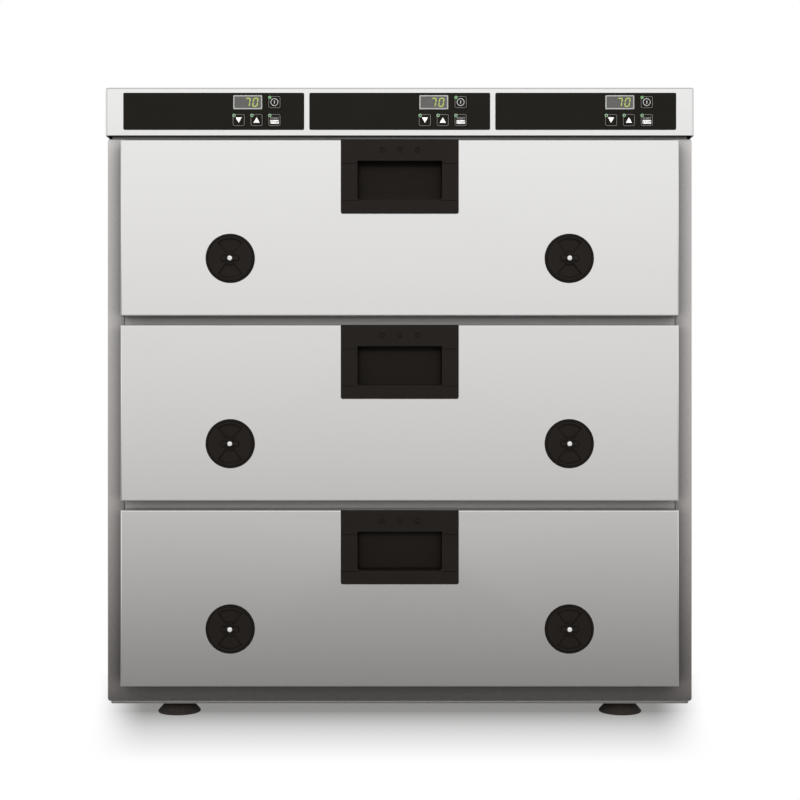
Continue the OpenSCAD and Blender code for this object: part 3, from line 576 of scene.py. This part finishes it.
def bead_tree():
    """A bead of an oval section along the edges of a mesh."""
    tree, given = new_tree("bead_along_path", Width="Float", Height="Float", Sides="Int")
    path = wired(tree, "GeometryNodeMeshToCurve", {0: given["Geometry"]})[0]
    section = wired(tree, "GeometryNodeCurvePrimitiveCircle", {"Resolution": given["Sides"], "Radius": 0.5})[0]
    size = wired(tree, "ShaderNodeCombineXYZ", {"X": given["Width"], "Y": given["Height"], "Z": 1.0})[0]
    oval = wired(tree, "GeometryNodeTransform", {"Geometry": section, "Scale": size})[0]
    bead = wired(tree, "GeometryNodeCurveToMesh", {"Curve": path, "Profile Curve": oval, "Fill Caps": True})[0]
    return close_tree(tree, given, bead)


def row_tree():
    """Balls in a straight row between two ends."""
    tree, given = new_tree("row_of_balls", Start="Vector", End="Vector", Count="Int", Radius="Float")
    ends = {"Count": given["Count"], "Start Location": given["Start"], "Offset": given["End"]}
    line = wired(tree, "GeometryNodeMeshLine", ends, mode="END_POINTS")[0]
    ball = wired(tree, "GeometryNodeMeshUVSphere", {"Segments": 8, "Rings": 6, "Radius": given["Radius"]})[0]
    copies = wired(tree, "GeometryNodeInstanceOnPoints", {"Points": line, "Instance": ball})[0]
    return close_tree(tree, given, copies)


def rib_ring_tree():
    """Ribs round an axis along Y, as a grip."""
    tree, given = new_tree("ribs_round_axis", Count="Int", Radius="Float", Rib="Vector", Centre="Vector")
    ring = wired(tree, "GeometryNodeMeshCircle", {"Vertices": given["Count"], "Radius": given["Radius"]})[0]
    rib = wired(tree, "GeometryNodeMeshCube", {"Size": given["Rib"]})[0]
    where = wired(tree, "GeometryNodeInputPosition")[0]
    out = wired(tree, "FunctionNodeAlignRotationToVector", {"Vector": where}, axis="X")[0]
    copies = wired(tree, "GeometryNodeInstanceOnPoints", {"Points": ring, "Instance": rib, "Rotation": out})[0]
    pose = {"Geometry": copies, "Translation": given["Centre"], "Rotation": tuple(FACES_FRONT)}
    return close_tree(tree, given, wired(tree, "GeometryNodeTransform", pose)[0])


ON_POINTS = pieces_on_points_tree()
BEAD = bead_tree()
BALL_ROW = row_tree()
RIB_RING = rib_ring_tree()


def grow(tree, finish, points=(), edges=(), **values):
    """Runs a tree on the points and edges, and returns the plain mesh that it makes."""
    mesh = bpy.data.meshes.new("seed")
    mesh.from_pydata([tuple(p) for p in points] or [(0, 0, 0)], edges, [])
    seed = new_object("seed", mesh)
    maker = seed.modifiers.new("maker", "NODES")
    maker.node_group = tree
    values["Finish"] = FINISH[finish]
    for item in tree.interface.items_tree:
        if item.item_type == "SOCKET" and item.in_out == "INPUT" and item.name in values:
            maker[item.identifier] = values[item.name]
    return taken_mesh(seed)


def copies_on(points, form, name, body, finish, turn, spin=0.0, replaces=()):
    """One piece made of copies of a form on the points."""
    master = new_object("master", mesh_of(form, "master"))
    made = grow(ON_POINTS, finish, points, Piece=master, Turn=tuple(turn), Spin=spin)
    bpy.data.objects.remove(master)
    return make_piece(made, name, body, finish, replaces)


def fasteners(spots, form, name, turn, spin=1.0, body="cabinet"):
    copies_on(spots, form, name, body, "fastener_steel", turn, spin)


# Folded steel: casing, cover, base, tray and frame


def box_edges(node, face=None, least=2):
    """Picks the edges that lie in at least so many faces of a node's box, and in the named face if there is one."""
    low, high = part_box(node)

    def bend(edge):
        planes = planes_of(edge, low, high)
        return len(planes) >= least and (face is None or face in planes)

    return bend


def front_rim(node):
    """Picks the outer edges of a folded tube's front, whose corners along Y are already round."""
    low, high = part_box(node)
    reach = 4 * MM

    def bend(edge):
        middle = (edge.verts[0].co + edge.verts[1].co) / 2
        is_outer = min(middle.x - low.x, high.x - middle.x, middle.z - low.z, high.z - middle.z) < reach
        return is_outer and "-y" in planes_of(edge, low, high)

    return bend


def make_casing():
    dress("outer_casing", front_rim("outer_casing"), 0.8 * MM)
    dress("back_panel", edge=0.3 * MM)
    # The base plate takes base_steel, a darker copy of the sheet steel: painted shade.
    dress("base_plate", box_edges("base_plate"), 1.2 * MM, finish="base_steel")
    dress("face_frame")
    dress("bay_liners")
    dress("electronics_tray", box_edges("electronics_tray"), 0.8 * MM)
    # The cover takes the brighter front_steel; the casing's darker casing_steel is partly painted shade.
    dress("top_cover", box_edges("top_cover", "+z", 1), 2.2 * MM, finish="front_steel")


# Fasteners and feet


def socket_screw(head_r, head_h, socket_r):
    """A button head with a six-sided socket, standing on z = 0."""
    socket_floor = 0.3 * head_h
    profile = [(0, 0), (head_r, 0), (head_r, 0.25 * head_h)]
    profile += [(head_r * math.cos(a), head_h * (0.25 + 0.75 * math.sin(a))) for a in (0.5, 0.9, 1.15)]
    profile += [(socket_r, head_h), (socket_r, socket_floor), (0, socket_floor)]
    form = turned(profile, 24)
    half_side = math.radians(30)
    for vert in form.verts:
        if abs(math.hypot(vert.co.x, vert.co.y) - socket_r) < 1e-7:
            turn = math.atan2(vert.co.y, vert.co.x) % (2 * half_side) - half_side
            squeeze = math.cos(half_side) / math.cos(turn)
            vert.co.x *= squeeze
            vert.co.y *= squeeze
    return form


def dome_rivet(head_r, head_h, dimple_r):
    """A domed rivet head with a small dimple, standing on z = 0."""
    profile = [(0, 0), (head_r - 0.1 * MM, 0), (head_r, 0.15 * head_h), (head_r, 0.3 * head_h)]
    profile += [(head_r * math.cos(a), head_h * (0.3 + 0.7 * math.sin(a))) for a in (0.35, 0.65, 0.95, 1.2)]
    profile += [(dimple_r, 0.99 * head_h), (0.6 * dimple_r, 0.6 * head_h), (0, 0.5 * head_h)]
    return turned(profile, 28)


def make_back_fasteners():
    """Button screws round the back panel, flat ones in the cover's sides, and those that hold the feet."""
    back_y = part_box("back_panel")[1].y
    low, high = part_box("outer_casing")
    inset = 9.5 * MM
    edge_x, low_z, high_z = high.x - inset, low.z + inset, high.z - inset
    spots = [(x, back_y, z) for x in (-edge_x, 0, edge_x) for z in (low_z, high_z)]
    spots += [(x, back_y, low_z + share * (high_z - low_z)) for x in (-edge_x, edge_x) for share in (1 / 3, 2 / 3)]
    screw = socket_screw(head_r=3.6 * MM, head_h=2.0 * MM, socket_r=1.4 * MM)
    fasteners(spots, screw, "back_panel_screws", FACES_BACK)

    low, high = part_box("top_cover")
    from_end, from_edge, sunk = mm(60, 12, 0.3)
    for side, sign, turn in reversed(SIDES):
        spots = [(sign * (high.x - sunk), y, low.z + from_edge) for y in (low.y + from_end, 0.0, high.y - from_end)]
        head = points_mm((0, 0), (2.6, 0), (2.6, 0.1), (2.4, 0.28), (1.2, 0.29), (1.1, 0.1), (0, 0.1))
        fasteners(spots, turned(head, 20), "cover_" + side + "_screws", turn)

    low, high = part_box("rubber_feet")
    foot_r, pocket_h, washer_h = mm(22.5, 7, 1.2)
    feet = [(x, y, high.z - pocket_h - washer_h)
            for x in (low.x + foot_r, high.x - foot_r) for y in (low.y + foot_r, high.y - foot_r)]
    washer = turned(points_mm((0, 0), (7.4, 0), (7.4, 1.2), (0, 1.2)), 24)
    fasteners(feet, washer, "foot_washers", FACES_UP, spin=0.0)
    fasteners(feet, socket_screw(head_r=5.0 * MM, head_h=3.0 * MM, socket_r=2.2 * MM), "foot_screws", FACES_DOWN)


def make_feet():
    """Rubber feet: a wide tread, a straight flare up to a short neck, and a hollow round the screw."""
    low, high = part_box("rubber_feet")
    tread_r, neck_r, height = 22.5 * MM, 13.0 * MM, high.z - low.z
    pocket_r, pocket_top, hole_r = 8.0 * MM, height - 7.0 * MM, 3.3 * MM
    tread_round, tread_z, neck_round, flare_top = mm(1.3, 1.9, 1.5, 12.8)
    profile = [(pocket_r, pocket_top), (pocket_r, 1.0 * MM), (pocket_r + 1.0 * MM, 0), (tread_r - 4 * MM, 0)]
    profile += arc(tread_r - tread_round, tread_z, tread_round, -70, 32, 7)
    profile += arc(neck_r + neck_round, flare_top + 1.0 * MM, neck_round, 212, 180, 3)
    profile += [(neck_r, height), (hole_r, height), (hole_r, pocket_top), (pocket_r, pocket_top)]
    feet = [(x, y, low.z) for x in (low.x + tread_r, high.x - tread_r) for y in (low.y + tread_r, high.y - tread_r)]
    copies_on(feet, turned(profile, 48), "rubber_feet_made", "cabinet", "rubber", FACES_UP,
              replaces=["rubber_feet"])


# Drawers


def make_handle(level):
    """The moulded grip: a recess with square top corners, and a groove across each cheek above and below it."""
    node = level + "_handle"
    low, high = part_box(node)
    half_w, drop, corner, mouth_depth = mm(42.85, 21.6, 5.0, 2.1)
    top = high.z - drop
    square_top = box_form((-half_w, low.y - MM, top - corner), (half_w, low.y + mouth_depth, top))
    form = carved(node_form(node), [square_top])
    soften(form, box_edges(node, "-y"), bend_radius=0.5 * MM, edge_radius=0.15 * MM, bend_steps=3)
    half_groove, groove_depth = mm(0.35, 0.5)
    grooves = []
    for z in (high.z - 24.4 * MM, high.z - 62.0 * MM):
        for x0, x1 in ((low.x - MM, MM - half_w), (half_w - MM, high.x + MM)):
            grooves.append(box_form((x0, low.y - MM, z - half_groove), (x1, low.y + groove_depth, z + half_groove)))
    stand_in(carved(form, grooves), node)


def make_vents(level):
    """Vent bases with a thin flange stepped down round the edge, and the dials that turn on them."""
    node = level + "_vent_bases"
    low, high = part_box(node)
    rim_r = (high.z - low.z) / 2
    flange_w, flange_drop = mm(1.15, 1.4)
    inside, outside = rim_r - flange_w, rim_r + MM
    step = ((inside, -flange_drop), (outside, -flange_drop), (outside, MM), (inside, MM), (inside, -flange_drop))
    steps = [placed(turned(step, 64), (x, low.y, (low.z + high.z) / 2), FACES_FRONT)
             for x in (low.x + rim_r, high.x - rim_r)]
    dress(node, edge=0.25 * MM, form=carved(node_form(node), steps))
    for side, _, _ in SIDES:
        dress(level + "_" + side + "_vent_dial", edge=0.4 * MM)


def make_front_fasteners(level):
    """Pivot rivets of the vents, and the three dark screws of the handle."""
    node, body = level + "_front_fasteners", level + "_drawer"
    low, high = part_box(level + "_vent_bases")
    head_h = 1.2 * MM
    vent_x = high.x - 25 * MM
    spots = [(x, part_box(node)[0].y + head_h, (low.z + high.z) / 2) for x in (-vent_x, vent_x)]
    rivet = dome_rivet(head_r=2.4 * MM, head_h=head_h, dimple_r=0.7 * MM)
    copies_on(spots, rivet, level + "_pivot_rivets", body, "rivet_aluminium", FACES_FRONT,
              replaces=[node])
    shank = points_mm((0, 0), (1.5, 0), (1.5, 8.6), (3.0, 8.6), (3.0, 9.6), (2.4, 9.9), (0, 9.9))
    fasteners(spots, turned(shank, 20), level + "_rivet_shanks", FACES_BACK, spin=0.0, body=body)

    low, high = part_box(level + "_handle")
    pitch, drop, sunk = mm(18, 11, 1.0)
    spots = [(x, low.y + sunk, high.z - drop) for x in (-pitch, 0.0, pitch)]
    screw = socket_screw(head_r=2.5 * MM, head_h=0.5 * MM, socket_r=1.2 * MM)
    copies_on(spots, screw, level + "_handle_screws", body, "dark_screw", FACES_FRONT, spin=1.0)


def make_gasket(level):
    """A hollow-looking bulb on a flat foot, run round the closing plate."""
    node = level + "_drawer_gasket"
    low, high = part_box(node)
    width, corner_r, bulb_h = mm(4.0, 5.0, 4.6)
    foot_h = high.y - low.y - bulb_h + 0.9 * MM
    outline = rounded_outline(high.x - low.x - width, high.z - low.z - width, corner_r)
    edges = [(k, (k + 1) % len(outline)) for k in range(len(outline))]
    for part, y, w, h, sides, replaces in (("bulb", high.y - bulb_h / 2, 3.4 * MM, bulb_h, 14, [node]),
                                           ("foot", low.y + foot_h / 2, 3.95 * MM, foot_h, 8, [])):
        path = [(x, y, (low.z + high.z) / 2 + z) for x, z in outline]
        bead = grow(BEAD, "silicone", path, edges, Width=w, Height=h, Sides=sides)
        make_piece(bead, level + "_gasket_" + part, level + "_drawer", "silicone", replaces)


def make_pan(level):
    """A drawn food pan: rolled rim, soft shoulder, stacking step, drafted walls and a rounded floor."""
    node = level + "_food_pan"
    low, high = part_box(node)
    centre = (low + high) / 2
    w, d, depth = high - low
    rim, wall, draft, rim_t = mm(13, 0.9, 9, 1.0)
    rim_r, body_r, least_r, floor_r, floor_inset = mm(20, 48, 6, 12, 70)
    step_drop, step_in, step_half = mm(24, 1.2, 1.5)

    def inset_at(drop):
        return rim + draft * drop / depth + (step_in if drop > step_drop else 0)

    wall_drops = (12 * MM, step_drop - step_half, step_drop + step_half, 50 * MM, 90 * MM, depth - floor_r)
    outer = [(0.3 * MM, rim_t), (rim - 2.2 * MM, rim_t), (rim - 0.7 * MM, rim_t + 0.7 * MM), (rim, rim_t + 2.2 * MM)]
    outer += [(inset_at(drop), drop) for drop in wall_drops]
    outer += arc(inset_at(depth - floor_r) + floor_r, depth - floor_r, floor_r, 180, 90)[1:]
    inner = [(rim - 1.2 * MM, 0.0), (rim + wall - 0.2 * MM, 1.0 * MM)]
    inner += [(inset + wall, drop - wall * 0.6) for inset, drop in outer[4:]] + [(floor_inset, depth - wall)]
    outer.append((floor_inset, depth))
    top = [(0.3 * MM, 0.0), (0.0, 0.3 * MM), (0.0, rim_t - 0.3 * MM)]
    form = bmesh.new()

    def ring(inset, drop):
        if inset < 0.5 * rim:
            radius = rim_r - inset
        elif inset < rim:
            radius = rim_r - 0.5 * rim + (body_r - rim_r) * (2 * inset / rim - 1)
        else:
            radius = body_r - (inset - rim) * 0.6
        outline = rounded_outline(w - 2 * inset, d - 2 * inset, max(radius, least_r), 10)
        return [form.verts.new((centre.x + x, centre.y + y, high.z - drop)) for x, y in outline]

    rings = [ring(*point) for point in inner[::-1] + top + outer]
    skin(form, rings)
    form.faces.new(rings[0])
    form.faces.new(rings[-1][::-1])
    face_outwards(form)
    stand_in(form, node)


def make_slides(level):
    """The inner and middle rails of both slides, with their rows of balls and their screws."""
    nodes = [level + "_inner_rails", level + "_intermediate_rails"]
    (inner_low, inner_high), (low, high) = (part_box(node) for node in nodes)
    for node in nodes:
        dress(node, edge=0.15 * MM)
    slide_z, length, end_gap = (low.z + high.z) / 2, high.y - low.y, 12 * MM
    ball_x, ball_r, ball_out = high.x - 4.4 * MM, 1.38 * MM, 1.4 * MM
    outer_row = ((high.z - low.z) / 2 + ball_out, (low.y + 0.55 * length, high.y - end_gap))
    inner_row = ((inner_high.z - inner_low.z) / 2 + ball_out, (low.y + end_gap, low.y + 0.45 * length))
    rows = []
    for x in (-ball_x, ball_x):
        for up in (-1, 1):
            for reach, ends in (outer_row, inner_row):
                start, end = ((x, y, slide_z + up * reach) for y in ends)
                row = grow(BALL_ROW, "fastener_steel", Start=start, End=end, Count=20, Radius=ball_r)
                rows.append(form_of(row))
    make_piece(joined(rows), level + "_slide_balls", nodes[1], "fastener_steel")
    screw_x = inner_high.x - 6.55 * MM
    screw_ys = (inner_low.y + 30 * MM, inner_low.y + 200 * MM, inner_high.y - 30 * MM)
    for side, sign, turn in SIDES:
        head = turned(points_mm((0, 0), (2.8, 0), (2.6, 0.5), (1.3, 0.6), (1.2, 0.2), (0, 0.2)), 20)
        spots = [(sign * screw_x, y, slide_z) for y in screw_ys]
        fasteners(spots, head, level + "_" + side + "_slide_screws", turn, body=level + "_drawer")


def make_drawers():
    for level in LEVELS:
        front = level + "_drawer_front"
        dress(front, box_edges(front, "-y"), 1.4 * MM)
        dress(level + "_drawer_frame")
        for make in (make_gasket, make_handle, make_vents, make_front_fasteners, make_pan, make_slides):
            make(level)
    dress("fixed_rails", edge=0.15 * MM)


# Controls


def key_face(panel, key):
    """The middle of a key's face."""
    low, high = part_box(panel + "_" + key + "_key")
    return Vector(((low.x + high.x) / 2, low.y, (low.z + high.z) / 2))


def printed(outline, centre, front, thickness=0.05 * MM, hole=None):
    """A thin print standing on a front face; its outline is in X and Z about the centre."""
    return placed(plate(outline, thickness, hole), (centre[0], front, centre[1]), FACES_FRONT)


def lettering(words, height, centre, front, stroke):
    """Plain letters of a height, centred on a place of a front face; their stroke grows by a share of the height."""
    thickness = 0.04 * MM
    curve = bpy.data.curves.new("words", "FONT")
    curve.body, curve.size, curve.align_x, curve.align_y = words, 1.0, "CENTER", "CENTER"
    curve.offset, curve.space_character = stroke, 1.1
    form = form_of(taken_mesh(new_object("words", curve)))
    merge(form, 1e-5)
    rises = [v.co.y for v in form.verts]
    bmesh.ops.scale(form, vec=Vector((height / (max(rises) - min(rises)),) * 3), verts=form.verts)
    raised = bmesh.ops.extrude_face_region(form, geom=list(form.faces))
    lift = [v for v in raised["geom"] if isinstance(v, bmesh.types.BMVert)]
    bmesh.ops.translate(form, vec=(0, 0, thickness), verts=lift)
    face_outwards(form)
    return placed(form, (centre[0], front, centre[1]), FACES_FRONT)


def make_key(panel, key):
    """A key cap with its grey outline, symbol and signal lamp."""
    node = panel + "_" + key + "_key"
    body = NODE_BODY[node]
    dress(node, edge=0.25 * MM)
    middle_x, front, middle_z = key_face(panel, key)
    centre = (middle_x, middle_z)
    line_w, outline_w, outline_r = mm(0.55, 12.1, 1.6)
    hole_w = outline_w - 2 * line_w
    outline = printed(rounded_outline(outline_w, outline_w, outline_r), centre, front + 0.02 * MM, 0.04 * MM,
                      rounded_outline(hole_w, hole_w, outline_r - line_w))
    make_piece(outline, node + "_outline", body, "grey_ink")
    mark_ink, lamp_glow, lamp_in, lamp_out = "white_ink", "lamp_glow", 0.85, 1.65
    if key == "power":
        mark_ink, lamp_glow, lamp_in = "soft_ink", "power_glow", 0.35
        ring_r, ring_w, bar_w, bar_h = mm(3.9, 0.6, 0.8, 3.3)
        marks = [printed(circle(ring_r), centre, front, hole=circle(ring_r - ring_w)),
                 printed(rounded_outline(bar_w, bar_h, 0.3 * MM, 3), centre, front)]
    elif key == "start":
        bar = (middle_x + 0.1 * MM, middle_z - 1.9 * MM)
        above = (middle_x + 0.2 * MM, middle_z + 1.9 * MM)
        below = (bar[0], bar[1] - 0.3 * MM)
        marks = [printed(rounded_outline(*mm(9.0, 3.8, 1.0)), bar, front)]
        stop = lettering("STOP", 2.6 * MM, below, front - 0.05 * MM, stroke=0.022)
        start = lettering("START", 2.0 * MM, above, front, stroke=0.012)
        make_piece(stop, node + "_stop_word", body, "dark_ink")
        make_piece(start, node + "_start_word", body, "pale_ink")
    else:
        half_w, half_h = 3.15 * MM, 2.75 * MM if key == "up" else -2.75 * MM
        arrow = [(-half_w, -half_h), (half_w, -half_h), (0, half_h)]
        marks = [printed(arrow if key == "up" else arrow[::-1], centre, front)]
    make_piece(joined(marks), node + "_symbol", body, mark_ink)
    lamp = points_mm((lamp_in, 0), (lamp_out, 0), (lamp_out, 0.08), (lamp_out - 0.25, 0.16), (lamp_in + 0.2, 0.16),
                     (lamp_in, 0.08), (lamp_in, 0))
    lamp_off = 4.8 * MM
    copies_on([(middle_x - lamp_off, front, middle_z + lamp_off)], turned(lamp, 24), node + "_lamp", body, lamp_glow,
              FACES_FRONT)


def make_display(panel):
    """A framed grey window with two slanted seven-bar digits, which show 70."""
    power, start, down = (key_face(panel, key) for key in ("power", "start", "down"))
    centre = (down.x + (start.x - down.x) / 4, power.z)
    sunk, w, h, border, lens_t = mm(0.6, 29.6, 14.4, 1.25, 0.25)
    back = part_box("control_fascias")[0].y + sunk
    window = rounded_outline(w - 2 * border, h - 2 * border, 0.5 * MM)
    bezel = printed(rounded_outline(w, h, 1.2 * MM), centre, back, sunk - 0.08 * MM, window)
    soften(bezel, edge_radius=0.12 * MM)
    make_piece(bezel, panel + "_display_frame", "cabinet", "bezel_paint")
    make_piece(printed(window, centre, back, lens_t), panel + "_display_window", "cabinet", "display_lens")

    digit_h, digit_w, gap, bar_w, bar_t = mm(8.2, 4.4, 0.25, 1.15, 0.06)
    lean = math.tan(math.radians(9))
    places = {"top": (0, 0.5), "upper_right": (0.5, 0.25), "lower_right": (0.5, -0.25),
              "bottom": (0, -0.5), "lower_left": (-0.5, -0.25), "upper_left": (-0.5, 0.25)}
    seven, nought = ("top", "upper_right", "lower_right"), tuple(places)
    bars = {"flat": [], "upright": []}
    for lit, offset in ((seven, -0.2 * MM), (nought, 7.8 * MM)):
        for across, up in (places[name] for name in lit):
            spot = (centre[0] + offset + across * digit_w, back - lens_t, centre[1] + up * digit_h)
            bars["upright" if across else "flat"].append(spot)
    upright_turn = Euler((math.radians(90), math.radians(90), 0))
    for kind, length, turn in (("flat", digit_w - gap, FACES_FRONT), ("upright", digit_h / 2 - gap, upright_turn)):
        tip, side = length / 2, bar_w / 2
        right = [(tip - side, -side), (tip, 0), (tip - side, side)]
        bar = plate(right + [(-x, -y) for x, y in right], bar_t)
        piece = copies_on(bars[kind], bar, panel + "_digit_" + kind + "_bars", "cabinet", "digit_glow", turn)
        for vert in piece.data.vertices:
            vert.co.x += (vert.co.z - centre[1]) * lean


def make_controls():
    dress("control_fascias", edge=0.3 * MM)
    for panel in PANELS:
        make_display(panel)
        for key in KEYS:
            make_key(panel, key)


# Gland, probes and hidden parts


def make_gland():
    """The cable gland with ribs round its dome and a rubber seal in its mouth."""
    low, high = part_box("cable_gland")
    dress("cable_gland", edge=0.35 * MM)
    centre_x, centre_z = low.x + 13.5 * MM, (low.z + high.z) / 2
    rib_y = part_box("top_cover")[1].y + 10.6 * MM
    ribs = grow(RIB_RING, "gland_plastic", Count=24, Radius=10.4 * MM, Rib=mm(1.0, 0.8, 8.0),
                Centre=(centre_x, rib_y, centre_z))
    make_piece(ribs, "gland_ribs", "cabinet", "gland_plastic")
    seal = turned(points_mm((5.02, 0), (6.5, 0), (6.5, 0.5), (5.6, 0.9), (5.02, 0.5), (5.02, 0)))
    copies_on([(centre_x, high.y - 1.0 * MM, centre_z)], seal, "gland_seal", "cabinet", "rubber", FACES_BACK)


def make_hidden_parts():
    """Parts behind panels keep their own solids, in their own finishes."""
    dress("temperature_probes", edge=0.5 * MM)
    for node in ("insulation", "heating_elements", "controller_boards"):
        paint(frame["nodes"][node].data, NODE_SLOT[node])


# Studio


def soft_light(name, spot, aim, size, power):
    """A soft light of a width, a height and watts, which the steel doesn't mirror."""
    lamp = bpy.data.lights.new(name, "AREA")
    lamp.shape, lamp.energy = "RECTANGLE", power
    lamp.size, lamp.size_y = size
    light = new_object(name, lamp)
    light.location = spot
    light.rotation_euler = (Vector(aim) - Vector(spot)).to_track_quat("-Z", "Y").to_euler()
    light.visible_glossy = False


def empty_tree(owner):
    """The node tree of a world or a material, with nothing in it."""
    owner.use_nodes = True
    owner.node_tree.nodes.clear()
    return owner.node_tree


def sky_ramp(tree, rise, stops, strongest, warm):
    """A colour ramp over the height of a direction, from (height, level) stops; warm tints what lies low."""
    warm_top, warm_span, warm_loss = 0.1, 0.3, (0.0, 0.06, 0.08)
    node = tree.nodes.new("ShaderNodeValToRGB")
    feed(node, {0: rise})
    points = node.color_ramp.elements
    while len(points) < len(stops):
        points.new(0.5)
    for point, (height, level) in zip(points, stops):
        point.position = (height + 1) / 2
        warmth = warm * min(1.0, max(0.0, (warm_top - height) / warm_span))
        point.color = tuple(level / strongest * (1.0 - loss * warmth) for loss in warm_loss) + (1.0,)
    return node.outputs[0]


def make_sky():
    """A studio that reflects in the steel: a tall soft light ahead over a dark floor, softer walls all round.

    The camera itself sees a white backdrop.
    """
    world = bpy.data.worlds.new("studio")
    bpy.context.scene.world = world
    tree = empty_tree(world)
    towards = wired(tree, "ShaderNodeTexCoord")["Generated"]
    parts = wired(tree, "ShaderNodeSeparateXYZ", {0: towards})
    rise = respan(tree, parts["Z"], (-1.0, 1.0))
    ahead_stops = ((-1.0, 0.62), (-0.65, 0.52), (-0.45, 0.08), (-0.18, 0.04), (-0.12, 0.52), (-0.06, 0.90),
                   (0.0, 0.88), (0.07, 0.89), (0.14, 1.03), (0.22, 1.15), (0.32, 1.20), (0.5, 1.09), (1.0, 0.50))
    around_stops = ((-1.0, 0.42), (-0.5, 0.40), (-0.25, 0.36), (-0.05, 0.50), (0.05, 0.68), (0.2, 0.82), (0.4, 0.74),
                    (0.7, 0.62), (1.0, 0.85))
    strongest = 1.2
    ahead = sky_ramp(tree, rise, ahead_stops, strongest, 1.0)
    around = sky_ramp(tree, rise, around_stops, strongest, 0.0)
    off_centre = maths(tree, "ABSOLUTE", parts["X"])
    around = blend(tree, 1.0, around, respan(tree, off_centre, (0.0, 1.0), (0.8, 1.15)), "MULTIPLY")
    forward = respan(tree, parts["Y"], (-0.70, -0.86), ease="SMOOTHSTEP")
    central = respan(tree, off_centre, (0.62, 0.42), ease="SMOOTHSTEP")
    colour = blend(tree, maths(tree, "MULTIPLY", forward, central), around, ahead)
    lit, white = (wired(tree, "ShaderNodeBackground", {"Color": tone, "Strength": strength})[0]
                  for tone, strength in ((colour, strongest), ((1, 1, 1, 1), 1.0)))
    seen = wired(tree, "ShaderNodeLightPath")["Is Camera Ray"]
    either = wired(tree, "ShaderNodeMixShader", {0: seen, 1: lit, 2: white})[0]
    wired(tree, "ShaderNodeOutputWorld", {0: either})


def make_floor():
    """A pale floor with a painted soft shadow round the cabinet's footprint, which runs out into the white backdrop
    past it; only its faint diffuse part takes real shadow.
    """
    reach, shadow_narrowing, side_shadow_fade, front_shadow_fade = 30.0, 0.17, (0.304, 0.365), (0.208, 0.43)
    mesh = bpy.data.meshes.new("floor")
    mesh.from_pydata([(-reach, -reach, 0), (reach, -reach, 0), (reach, reach, 0), (-reach, reach, 0)], [],
                     [(0, 1, 2, 3)])
    floor = new_object("floor", mesh)
    material = bpy.data.materials.new("pale_floor")
    tree = empty_tree(material)
    place = wired(tree, "ShaderNodeTexCoord")["Object"]
    away = wired(tree, "ShaderNodeVectorMath", {0: place}, operation="ABSOLUTE")[0]
    away = wired(tree, "ShaderNodeSeparateXYZ", {0: away})
    # The painted shadow's extent is set by place alone: it fades out to the sides and ahead, and narrows towards the
    # front.
    sideways = maths(tree, "MULTIPLY_ADD", away["Y"], shadow_narrowing, away["X"])
    side = respan(tree, sideways, side_shadow_fade, (1.0, 0.0), "SMOOTHSTEP")
    ahead = maths(tree, "POWER", respan(tree, away["Y"], front_shadow_fade), 0.75)
    # This share is the painted shadow, whole over the footprint and fading out round it.
    painted_shadow = maths(tree, "MULTIPLY", side, maths(tree, "SUBTRACT", 1.0, ahead))
    matt = wired(tree, "ShaderNodeBsdfDiffuse", {"Color": (0.05, 0.05, 0.05, 1)})[0]
    # A fixed faint emission sets the grey of the painted shadow, lifting it under the cabinet; white is the plain
    # backdrop floor.
    lift, white = (wired(tree, "ShaderNodeEmission", {"Color": tone, "Strength": strength})[0]
                   for tone, strength in (((1, 0.985, 0.975, 1), 0.262), ((1, 1, 1, 1), 1.0)))
    near = wired(tree, "ShaderNodeAddShader", {0: matt, 1: lift})[0]
    either = wired(tree, "ShaderNodeMixShader", {0: painted_shadow, 1: white, 2: near})[0]
    wired(tree, "ShaderNodeOutputMaterial", {0: either})
    mesh.materials.append(material)
    floor.visible_glossy = False


def make_camera():
    """The photograph's straight front view, from a metre and a half before the drawer faces."""
    distance, eye_x, eye_z = 1.5, 0.25 * MM, 332.8 * MM
    lens = bpy.data.cameras.new("camera")
    lens.lens, lens.sensor_width, lens.clip_start, lens.clip_end = 66.52, 36.0, 0.05, 100.0
    camera = new_object("camera", lens)
    camera.location = (eye_x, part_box("upper_drawer_front")[0].y - distance, eye_z)
    camera.rotation_euler = FACES_FRONT
    bpy.context.scene.camera = camera


def make_studio():
    view = bpy.context.scene.view_settings
    view.view_transform, view.look = "Standard", "None"
    make_sky()
    make_floor()
    make_camera()
    soft_light("overhead", (0, -0.25, 2.2), (0, -0.25, 0), (1.4, 0.7), 25)
    soft_light("key", (0, -1.3, 2.0), (0, -0.3, 0.35), (0.8, 0.3), 18)
    soft_light("front", (0, -3.2, 0.9), (0, -0.3, 0.33), (1.6, 0.5), 110)
    soft_light("back", (0, 2.6, 2.0), (0, 0.3, 0.3), (2.4, 1.2), 20)


make_casing()
make_back_fasteners()
make_feet()
make_drawers()
make_controls()
make_gland()
make_hidden_parts()
make_studio()
